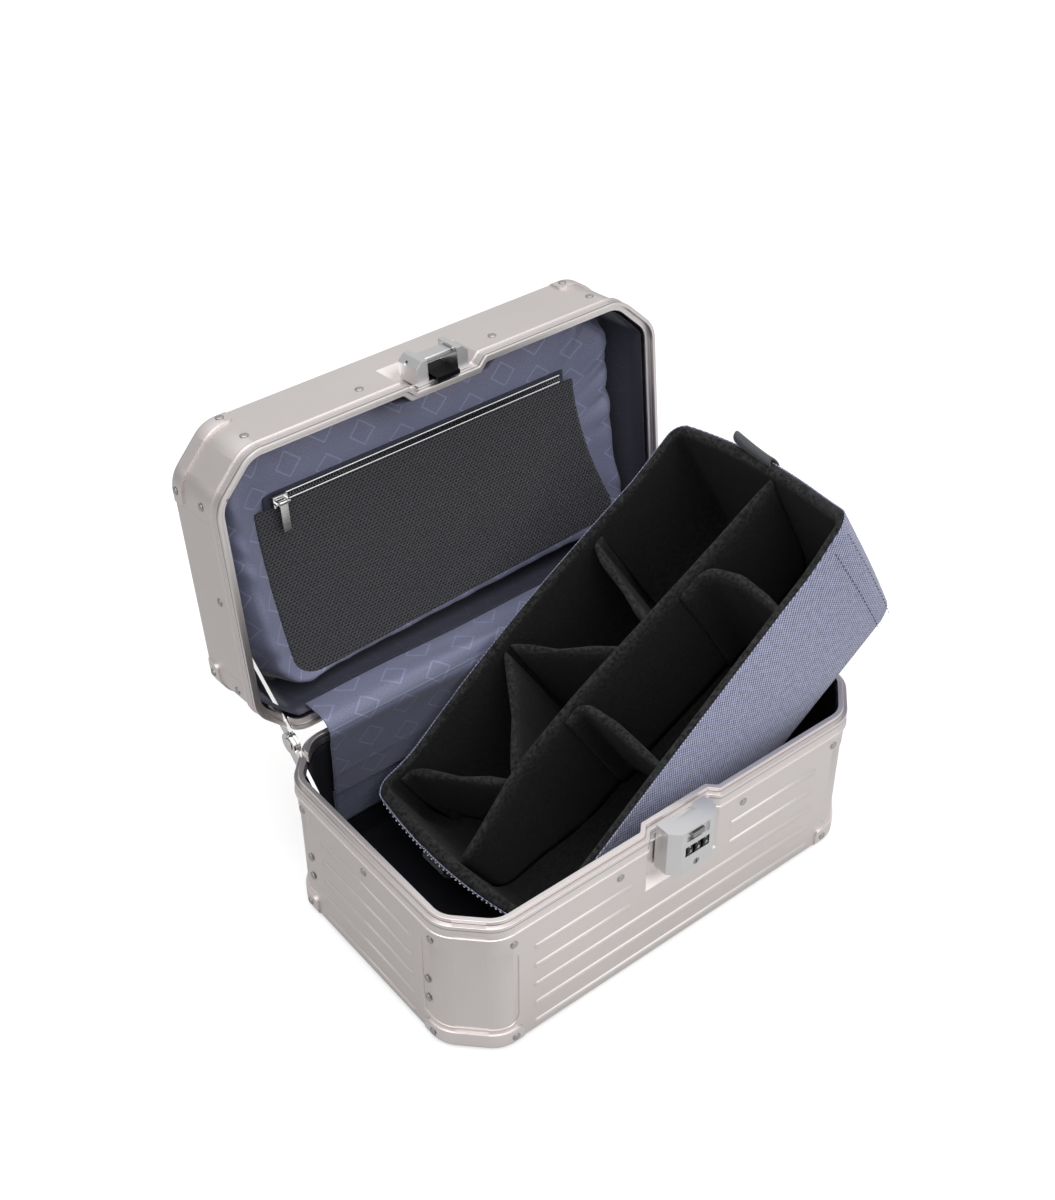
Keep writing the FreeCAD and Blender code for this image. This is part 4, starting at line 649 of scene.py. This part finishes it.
# Zip: a navy tape with two bright woven edges, two rows of small metal teeth, and a plated slider
# with a rounded pull hanging from its bridge.
tape_dark, tape_light = (0.016, 0.018, 0.034), (0.042, 0.046, 0.080)
tape_navy = twill_cloth("tape_navy", 0.75, 0.2, 0.0010, tape_dark, tape_light, 0.4, 0.0003)
zip_y = -43.5
tape_long, tape_wide = 256, 12.4
tape_run, tape_across = np.linspace(-0.5, 0.5, 90) * tape_long, zip_y - np.linspace(-0.5, 0.5, 9) * tape_wide
tape_x, tape_y = np.meshgrid(tape_run, tape_across)
tape_depth = 160.6 + 0.05 * np.abs(tape_y - zip_y) + 0.12 * np.sin(tape_x / 21)
tape_points = np.stack([tape_x, tape_y, tape_depth], -1)
tape = thicken(put_surface("zip_tape_cloth", opened(tape_points), tape_points[..., :2]), 0.0006)
tape.data.materials.append(tape_navy)
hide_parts("zip_tape")
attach(tape, "lid")
bright_edge = metal("bright_edge", (0.83, 0.83, 0.82), (0.70, 0.70, 0.69), 0.25, 0.10, 0.05)
edge_x, edge_turn = np.meshgrid(np.linspace(-122, 124, 60), np.linspace(0, 2 * math.pi, 9))
for word, shift in (("upper", -2.6), ("lower", 2.6)):
    edge_y, edge_z = zip_y + shift + 0.85 * np.cos(edge_turn), 160.1 + 0.65 * np.sin(edge_turn)
    edge_points = np.stack([edge_x, edge_y, edge_z], -1)
    edge_uv = edge_points[..., :2]
    edging = put_surface(f"zip_edge_{word}", opened(edge_points), edge_uv, weld=True, outward=True)
    edging.data.materials.append(bright_edge)
    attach(edging, "lid")
tooth_size, tooth_pitch, tooth_count, tooth_side = (0.68, 1.9, 1.1), 1.14, 216, 0.62
tooth_number = np.arange(tooth_count)
tooth_place = np.stack([
    -121 + tooth_number * tooth_pitch,
    zip_y + np.where(tooth_number % 2 == 0, -tooth_side, tooth_side),
    np.full(tooth_count, 159.95),
], -1)
teeth_points = (tooth_place[:, None] + box_corner * tooth_size).reshape(-1, 3)
teeth_faces = (tooth_number[:, None, None] * 8 + box_face).reshape(-1, 4)
teeth = put_mesh("zip_teeth", opened(teeth_points) * 0.001, teeth_faces, smooth=False)
teeth.data.materials.append(metal("teeth_gunmetal", (0.34, 0.34, 0.34), (0.22, 0.22, 0.22), 0.32, 0.10, 0.05))
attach(teeth, "lid")
for word in ("zip_slider", "zip_pull"):
    dress(nodes[word], bright_nickel, 0.0005)

# Hinge flap: a panel of the same satin that hides the hinge gap. It hangs from the lid's rear wall,
# folds softly over the rims and is sewn behind the rear band.
flap_line = np.array([
    (100.6, 61), (100.2, 78), (99.4, 95), (99.6, 112), (98.2, 120),
    (100, 126), (105, 129.5), (112, 130.6), (120, 130.2), (128, 128.6),
])
flap_lines, flap_ease = 110, 8
flap_step = np.linspace(0, len(flap_line) - 1, flap_lines)


def bell(count):
    """Weights of a running mean over count values: a raised cosine that sums to 1."""
    return np.hanning(count) / np.hanning(count).sum()


def eased(marks):
    """Marks at even steps along the flap, smoothed by a running mean."""
    even = np.interp(flap_step, np.arange(len(marks)), marks)
    return np.convolve(np.pad(even, flap_ease, mode="edge"), bell(2 * flap_ease + 1), mode="valid")


flap_y, flap_z = eased(flap_line[:, 0]), eased(flap_line[:, 1])
flap_x, flap_share = np.meshgrid(np.linspace(-band_half, band_half, 100), np.linspace(0, 1, flap_lines))
flap_fold = np.sin(flap_share * 21 + 0.9 * np.sin(flap_x / 60)) * np.sin(math.pi * flap_share) ** 0.8
flap_fold = flap_fold * (0.8 + 0.5 * np.sin(flap_x / 47 + 1.1)) + 0.5 * np.sin(flap_x / 23 + flap_share * 5)
seams = np.exp(-(((flap_share - 0.50) / 0.006) ** 2)) + np.exp(-(((flap_share - 0.14) / 0.006) ** 2))
flap_away = np.clip(flap_fold + 1.0, 0.0, 3.0) + 0.6 * seams
slope_y = np.gradient(flap_y)
slope_z = np.gradient(flap_z)
slope = np.hypot(slope_y, slope_z)
flap_points = np.stack([
    flap_x,
    flap_y[:, None] - flap_away * (slope_z / slope)[:, None],
    flap_z[:, None] + flap_away * (slope_y / slope)[:, None],
], -1)
flap_run = run_lengths(flap_points, 0)
flap_shade = 0.10 + 0.42 * np.clip((0.62 - flap_share) / 0.25, 0, 1)
flap = put_surface("hinge_flap_cloth", flap_points, np.stack([flap_x, flap_run], -1), shade=flap_shade)
thicken(flap, 0.0006)
flap.data.materials.append(satin)
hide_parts("hinge_flap")
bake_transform(flap)

# Carry handle: a bail of black moulded plastic with a fine grain, on two small brackets riveted to
# the lid's top.
def moulded(name, dark, light, roughness, scale, bump):
    """Moulded plastic: colour and roughness clouded by noise, with a fine pebbled grain as relief."""
    finish, tree, shader = new_finish(name)
    place = put_node(tree, "ShaderNodeTexCoord").outputs["Object"]
    broad = noise(tree, place, 60.0, 4.0)
    pebble = put_node(tree, "ShaderNodeTexVoronoi", [("Vector", place), ("Scale", scale)])
    tint(tree, shader, broad, dark, light)
    clouded = sums(tree, "MULTIPLY_ADD", broad, 0.2, roughness - 0.1)
    tree.links.new(clouded, shader.inputs["Roughness"])
    relief(tree, shader, pebble.outputs["Distance"], bump, 0.0003)
    return finish


handle_black = moulded("handle_black", (0.010, 0.010, 0.011), (0.020, 0.020, 0.021), 0.5, 1400.0, 0.25)
dress(nodes["carry_handle"], handle_black, 0.0012)
for word in ("left", "right"):
    dress(nodes["handle_bracket_" + word], bright_nickel, 0.0005)

# Lock wheels: three black moulded wheels that turn on one steel axle behind the lock's window, with ten
# plain numbers printed in white round each rim.
wheel_black = moulded("wheel_black", (0.006, 0.006, 0.006), (0.014, 0.014, 0.014), 0.4, 2200.0, 0.1)
number_white = moulded("number_white", (0.70, 0.70, 0.68), (0.82, 0.82, 0.80), 0.5, 2200.0, 0.05)
dial_radius, dial_y, dial_z, dial_pitch = 7.0, -115.0, 101.0, 7.0
number_tall, number_proud = 0.0036, 0.04


def wheel_number(digit, centre, turn):
    """Printed figure laid on a wheel: x across it, and y over the radius as an angle about the axle."""
    curve = bpy.data.curves.new("figure", "FONT")
    curve.body = str(digit)
    curve.size = number_tall
    curve.align_x, curve.align_y = "CENTER", "CENTER"
    carrier = bpy.data.objects.new("figure", curve)
    bpy.context.scene.collection.objects.link(carrier)
    bpy.context.view_layer.update()
    mesh = bpy.data.meshes.new_from_object(carrier.evaluated_get(bpy.context.evaluated_depsgraph_get()))
    bpy.data.objects.remove(carrier)
    mesh.calc_loop_triangles()
    flat = np.zeros(3 * len(mesh.vertices))
    mesh.vertices.foreach_get("co", flat)
    flat = flat.reshape(-1, 3) * 1000
    corners = np.zeros(3 * len(mesh.loop_triangles), int)
    mesh.loop_triangles.foreach_get("vertices", corners)
    angle = turn + flat[:, 1] / dial_radius
    reach = dial_radius + number_proud
    bent = np.stack([centre + flat[:, 0], dial_y - reach * np.cos(angle), dial_z + reach * np.sin(angle)], -1)
    return bent, corners.reshape(-1, 3)


for index, shown in ((1, 3), (2, 8), (3, 0)):
    dress(nodes[f"lock_dial_{index}"], wheel_black, 0.0003)
    centre = (index - 2) * dial_pitch
    figures = [wheel_number((shown + step) % 10, centre, -math.radians(36) * step) for step in range(10)]
    counts = np.cumsum([0] + [len(points) for points, faces in figures])
    ring_mesh = np.concatenate([points for points, faces in figures]) * 0.001
    ring_faces = np.concatenate([faces + count for (points, faces), count in zip(figures, counts)])
    numbers = put_mesh(f"dial_numbers_{index}", ring_mesh, ring_faces, smooth=False)
    numbers.data.materials.append(number_white)
    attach(numbers, f"lock_dial_{index}")

# Insert: a soft open tray that stands tilted in the case, its right end out over the rim. Felt-faced
# foam walls and floor, covered outside in blue twill, with a rounded felt edge all round its mouth.
tray_tilt = math.radians(36.394)
tray_long, tray_deep, tray_half = 327.0, 112.0, 88.0
tray_left, tray_edge = -102.0, 57.0
foot_along, foot_low, floor_fall, end_lean = -12.7, -54.8, 57.2 / 77.5, 8.0
round_from, round_run, round_long, round_wide = 0.82, 0.18, 0.045, 0.17
left_bow, left_skew, right_out, right_skew, right_belly = 10, 7, 10, 5, 9
corner_stand, stand_along, stand_across = 15, 26, 24
front_in, front_taper, front_ease = 3.5, 9.5, 7
rear_bow, rear_left, rear_right, wall_swell = 6.5, 9, 2, 3.0


def tilted(s, y, t):
    """Point s along the insert's mouth from its left end and t above it, turned up by the insert's tilt."""
    x = tray_left + s * math.cos(tray_tilt) - t * math.sin(tray_tilt)
    z = tray_edge + s * math.sin(tray_tilt) + t * math.cos(tray_tilt)
    return np.stack([x, y, z], -1)


def tray_place(along, across, depth):
    """Place in the case of a point of the insert, from its place on the mouth and its share of the depth.

    Going down, the ends draw in by the lean and the edges of the floor are rounded in. The floor rises
    to the left as the case bottom does. The walls swell by a sine of the depth, the mouth leans in
    along the front and bows out along the rear and the left end, and its right front corner stands up.
    """
    draw = s_curve((depth - round_from) / round_run)
    p = 0.5 + (along / tray_long - 0.5) * (1 - round_long * draw)
    q = 0.5 + across / (2 * tray_half) * (1 - round_wide * draw)
    belly = 1 - (2 * q - 1) ** 2
    slack = np.clip(1 - depth, 0, 1) ** 1.3
    left, right = np.clip(1 - p / 0.12, 0, 1.2) ** 2, np.clip((p - 0.8) / 0.2, 0, 1.1) ** 2
    bow = left * (left_bow * belly + left_skew * q)
    along_top = p * tray_long - bow + right * (right_out - right_skew * q + right_belly * belly)
    along_low = foot_along + p * (tray_long - end_lean - foot_along)
    low = np.maximum(-tray_deep, foot_low - (along_low - foot_along) * floor_fall)
    from_corner = ((1 - p) * tray_long / stand_along) ** 2 + (q * 2 * tray_half / stand_across) ** 2
    stand = corner_stand * np.exp(-from_corner)
    s = along_top * (1 - depth) + along_low * depth
    t = low * depth + stand * slack
    front = -tray_half + (front_in + front_taper * p - front_ease * right) * slack
    rear_out = rear_bow * np.sin(math.pi * np.clip(p / 0.85, 0, 1)) + rear_left * left + rear_right * right
    rear = tray_half + rear_out * slack
    swollen = wall_swell * np.sin(math.pi * np.clip(depth, 0, 1)) * (2 * q - 1) ** 3
    return tilted(s, front + (rear - front) * q + swollen, t)


def tray_loop(inset, share=1.0):
    """Rounded outline on the mouth, set in from it, and drawn to the middle line by share for a floor."""
    loop = round_loop(tray_long / 2 - inset, tray_half - inset, max(11 - inset, 4), straight=40)
    return np.stack([tray_long / 2 + loop[:, 0] * (1 - 0.5 * (1 - share)), loop[:, 1] * share], -1)


def tray_skin(rows):
    """Surface through outlines given as (inset, depth, share) rows."""
    loops = [(tray_loop(inset, share), depth) for inset, depth, share in rows]
    return np.stack([tray_place(loop[:, 0], loop[:, 1], depth + 0 * loop[:, 0]) for loop, depth in loops])


def soft_in_case(piece):
    """Insert piece on the base, given a mesh of its own."""
    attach(piece, "base")
    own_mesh(piece)


floor_rows = [(0, 1.0, share) for share in (0.0, 0.3, 0.6, 0.85)]
cover_foot = (1.0, 0.985, 0.965, 0.94, 0.91, 0.88)
cover_wall = (0.8, 0.7, 0.6, 0.5, 0.4, 0.3, 0.2, 0.12, 0.06, 0.03, 0.012, -0.002)
wall_rows = [(0, depth, 1.0) for depth in cover_foot + cover_wall]
cover_points = tray_skin(floor_rows + wall_rows)
round_mouth = np.broadcast_to(run_lengths(cover_points[-1:], 1), cover_points.shape[:2])
cover_uv = np.stack([round_mouth, run_lengths(cover_points, 0)], -1)
cover = put_surface("insert_cover", cover_points, cover_uv, weld=True)
thicken(cover, 0.0007)
blue_dark, blue_light = (0.020, 0.022, 0.050), (0.540, 0.560, 0.800)
twill_blue = twill_cloth("twill_blue", 0.72, 0.3, 0.0026, blue_dark, blue_light, 0.7, 0.0006)
cover.data.materials.append(twill_blue)
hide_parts("insert_tray")
soft_in_case(cover)

# The felt runs out under the floor, up the outside, over the rounded edge, down the inside and back
# over the floor.
felt_out, felt_in = 0.9, 6.2
felt_rows = [(felt_out, 0.995, share) for share in (0.0, 0.3, 0.6, 0.85)]
felt_rise = (0.995, 0.965, 0.93, 0.88, 0.8, 0.65, 0.5, 0.35, 0.2, 0.1, 0.04)
felt_rows += [(felt_out, depth, 1.0) for depth in felt_rise]
felt_lip = [
    (0.9, 0.02), (1.0, 0.0), (1.9, -0.016), (3.4, -0.022),
    (4.9, -0.016), (6.0, 0.0), (6.3, 0.02), (6.3, 0.05),
]
felt_rows += [(inset, depth, 1.0) for inset, depth in felt_lip]
felt_rows += [(felt_in, depth, 1.0) for depth in (0.1, 0.2, 0.35, 0.5, 0.65, 0.8, 0.88, 0.92, 0.95)]
felt_rows += [(felt_in, 0.955, share) for share in (0.85, 0.6, 0.3, 0.0)]
felt_points = tray_skin(felt_rows)
felt_depth = np.array([row[1] for row in felt_rows])
# Painted light: the felt is painted lighter along the top of its rounded edge, where light falls; the rest is
# darker.
felt_painted_top = np.clip(1 - felt_depth / 0.03, 0, 1)[:, None] + 0 * felt_points[..., 0]
felt = put_surface("insert_felt", felt_points, felt_points[..., :2], weld=True, outward=True, shade=felt_painted_top)
black_felt, felt_tree, felt_shader = new_finish("black_felt")
felt_shader.inputs["Roughness"].default_value = 0.95
felt_shader.inputs["Specular IOR Level"].default_value = 0.15
felt_shader.inputs["Sheen Weight"].default_value = 0.06
felt_shader.inputs["Sheen Roughness"].default_value = 0.6
felt_place = put_node(felt_tree, "ShaderNodeTexCoord").outputs["Object"]
fibre = noise(felt_tree, felt_place, 900.0, 5.0, roughness=0.7)
nap = ramp(felt_tree, noise(felt_tree, felt_place, 360.0, 3.0), 0.36, 0.64)
speck = ramp(felt_tree, fibre, 0.38, 0.66)
felt_mask = sums(felt_tree, "MULTIPLY_ADD", nap, 0.65, sums(felt_tree, "MULTIPLY", speck, 0.4))
# Painted light: the felt's colour is lighter on top edges by the shade value and darker everywhere else.
felt_painted_light = put_node(felt_tree, "ShaderNodeAttribute", attribute_name="shade").outputs["Fac"]
felt_lit = sums(felt_tree, "MULTIPLY", felt_mask, sums(felt_tree, "MULTIPLY_ADD", felt_painted_light, 0.82, 0.18))
tint(felt_tree, felt_shader, felt_lit, (0.0014, 0.0014, 0.0018), (0.042, 0.042, 0.044))
relief(felt_tree, felt_shader, fibre, 0.8, 0.0008)
felt.data.materials.append(black_felt)
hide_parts("insert_tray")
soft_in_case(felt)

# Partitions: padded felt strips sewn into the tray by flat tabs. One long strip runs down the middle
# with a slight bow, a folded strip zigzags along the rear row and two cross the front row.
strip_lines = 64


def smooth_line(marks):
    """Even steps along a line through marks, each coordinate smoothed by a running mean."""
    marks = np.array(marks, float)
    run = np.concatenate([[0], np.cumsum(np.linalg.norm(np.diff(marks[:, :2], axis=0), axis=1))])
    even = np.linspace(0, run[-1], strip_lines)
    line = np.stack([np.interp(even, run, marks[:, axis]) for axis in range(marks.shape[1])], -1)
    padded = np.concatenate([2 * line[:1] - line[4:0:-1], line, 2 * line[-1:] - line[-2:-6:-1]])
    return np.stack([np.convolve(values, bell(9), mode="valid") for values in padded.T], -1)


def padded_strip(name, marks, foot=0.95):
    """Upright padded strip along marks (along, across, drop of its top in mm, half thickness in mm).

    The outline across it runs up one face, over a half round, and down the other face. Each face is
    set off the line by the half thickness, swollen by a sine of its height.
    """
    line = smooth_line(marks)
    heading = unit(np.gradient(line[:, :2], axis=0))
    normal = np.stack([-heading[:, 1], heading[:, 0]], -1)
    face, bend = 12, np.linspace(0, math.pi, 9)[1:-1]
    rise = np.concatenate([np.linspace(0, 1, face), np.ones(len(bend)), np.linspace(1, 0, face), [0.0]])
    over = np.concatenate([np.zeros(face), np.sin(bend), np.zeros(face), [0.0]])
    aside = np.concatenate([np.ones(face), np.cos(bend), -np.ones(face), [1.0]])
    puff = 0.78 + 0.22 * np.sin(math.pi * np.clip(rise, 0, 1) ** 0.7)
    step = np.arange(strip_lines)
    end = np.clip(np.minimum(step, step[::-1]) / 2.0, 0, 1) ** 0.5
    half = line[:, 3] * (0.12 + 0.88 * end)
    shift = (aside * puff)[None] * half[:, None]
    top = (line[:, 2] + half) / tray_deep
    depth = foot + rise[None] * (top[:, None] - foot) - over[None] * (half / tray_deep)[:, None]
    plan = line[:, None, :2] + normal[:, None] * shift[..., None]
    points = tray_place(plan[..., 0], plan[..., 1], depth)
    caps = points[[0, -1]].mean(1, keepdims=True).repeat(points.shape[1], 1)
    capped = np.concatenate([caps[:1], points, caps[1:]])
    # Painted light: the felt is painted lighter over the strip's rounded top, where light falls.
    painted_top = np.clip((rise - 0.86) / 0.14, 0, 1) ** 2 + 0 * capped[..., 0]
    strip = put_surface(name, capped, capped[..., :2], weld=True, outward=True, shade=painted_top)
    strip.data.materials.append(black_felt)
    return strip


long_marks = [
    (6, -3.8, 5, 2.8), (35, 3.6, 3, 3.0), (70, 8.2, 2, 3.0), (135, 4.8, 1, 3.0),
    (190, -0.8, 0, 3.0), (252, -5.9, -1, 3.0), (320, -8.8, 0, 2.8),
]
long_strip = padded_strip("partition_long", long_marks)
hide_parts("insert_long_divider")
soft_in_case(long_strip)
cross_fuller = 1.25
cross_marks = [
    [
        (14, 81, 8, 1.2), (22, 80, 7, 1.6), (27, 72, 8, 3.2),
        (40, 47, 13, 1.6), (52, 27, 10, 3.4), (60, 11, 8, 2.6),
    ],
    [(66, 11, 8, 2.6), (78, 25, 10, 3.4), (97, 46, 14, 1.6), (116, 66, 10, 3.4), (128, 80, 7, 2.6)],
    [(134, 80, 7, 2.4), (142, 68, 10, 3.4), (153, 50, 14, 1.6), (168, 26, 10, 3.4), (180, 4, 7, 2.6)],
    [
        (236, 81, 8, 1.3), (228, 80, 7, 1.8), (223, 68, 9, 3.4),
        (216, 42, 14, 2.0), (209, 17, 10, 3.4), (206, 3, 7, 2.6),
    ],
    [
        (116, 1.6, 7, 1.3), (130, 0, 5, 1.6), (134, -7, 4, 3.2),
        (136, -30, 8, 3.8), (135, -55, 13, 3.4), (134, -81, 11, 2.0),
    ],
    [
        (232, -8.4, 7, 1.3), (250, -9.6, 5, 1.6), (259, -16, 3, 3.2),
        (266, -36, 6, 3.8), (266, -58, 11, 3.4), (263, -81, 11, 2.0),
    ],
]
for index, marks in enumerate(cross_marks, start=1):
    strip = padded_strip(f"partition_{index}", np.array(marks) * (1, 1, 1, cross_fuller))
    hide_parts(f"insert_cross_divider_{index}")
    soft_in_case(strip)

# Sewing and loops: dashed thread along the cover's edges, and a loop of grey webbing sewn to the
# outside of each end for lifting the insert.
thread_light = moulded("thread_light", (0.45, 0.46, 0.50), (0.70, 0.71, 0.75), 0.7, 3000.0, 0.2)
thread_dark = moulded("thread_dark", (0.010, 0.010, 0.016), (0.028, 0.028, 0.040), 0.7, 3000.0, 0.2)


def stitch_row(name, path, pitch, length, radius, finish):
    """Row of stitches along a path: each one a spindle of eight faces, its tips length apart."""
    run = run_lengths(path[None], 1)[0]
    middles = np.arange(pitch / 2, run[-1] - pitch / 2, pitch)

    def at(place):
        return np.stack([np.interp(place, run, path[:, axis]) for axis in range(3)], -1)

    first, last, middle = at(middles - length / 2), at(middles + length / 2), at(middles)
    heading = unit(last - first)
    side = unit(np.cross(heading, np.array([0.3, -0.7, 0.6]))) * radius
    rise = np.cross(side, heading)
    ring = [middle + side, middle + rise, middle - side, middle - rise]
    points = np.stack([first, *ring, last], 1).reshape(-1, 3)
    spindle = np.array([
        (0, 1, 2), (0, 2, 3), (0, 3, 4), (0, 4, 1), (5, 2, 1), (5, 3, 2), (5, 4, 3), (5, 1, 4),
    ])
    faces = (np.arange(len(middles))[:, None, None] * 6 + spindle).reshape(-1, 3)
    row = put_mesh(name, points * 0.001, faces)
    row.data.materials.append(finish)
    soft_in_case(row)


def sewn(along, across, depth, marks):
    """Path on the insert between two ends of along, across and depth, at a count of marks."""
    return tray_place(*(np.linspace(*ends, marks) for ends in (along, across, depth)))


left_edge = sewn((-0.5, -0.5), (-70, 78), (0.004, 0.004), 60)
rear_edge = sewn((8, 318), (88.3, 88.3), (0.05, 0.05), 160)
corner_line = sewn((309.0, 309.0), (-88.35, -88.35), (0.06, 0.86), 40)
seam_line = sewn((321.0, 321.0), (-87.6, -87.6), (0.06, 0.86), 40)
stitch_row("stitch_left_end", left_edge, 4.4, 2.5, 0.6, thread_light)
stitch_row("stitch_rear", rear_edge, 4.6, 2.8, 0.4, thread_dark)
stitch_row("stitch_corner", corner_line, 4.4, 3.0, 0.45, thread_dark)
stitch_row("stitch_seam", seam_line, 4.4, 3.0, 0.4, thread_dark)

web_dark, web_light = (0.030, 0.031, 0.036), (0.105, 0.107, 0.118)
webbing_grey = twill_cloth("webbing_grey", 0.8, 0.2, 0.0016, web_dark, web_light, 0.6, 0.0005)


def webbing_loop(name, node, first, last, along, drop, tall, wide, away):
    """Folded strap: a flattened ring in the tray's side view, its rear edge lifted by away."""
    turn, across = np.meshgrid(np.linspace(0, 2 * math.pi, 41), np.linspace(first, last, 12))
    lift = np.clip((across - first - 3) / (last - first - 3), 0, 1) ** 1.5 * away
    s = along + wide * np.sign(np.cos(turn)) * np.abs(np.cos(turn)) ** 0.7 + 0.6 * lift
    t = drop + tall * np.sign(np.sin(turn)) * np.abs(np.sin(turn)) ** 0.9 + lift
    points = tilted(s, across + 0.6 * np.sin(turn * 2), t)
    uv = np.stack([across, run_lengths(points, 1)], -1)
    strap = put_surface(name, points, uv, weld=True)
    thicken(strap, 0.0014, 0.0)
    strap.data.materials.append(webbing_grey)
    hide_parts(node)
    soft_in_case(strap)


webbing_loop("loop_left", "insert_loop_left", 8.5, 31.5, -16.5, -12, 6.0, 2.0, 0.0)
webbing_loop("loop_right", "insert_loop_right", 2.0, 37.0, 342.5, -0.5, 6.3, 3.0, 4.0)
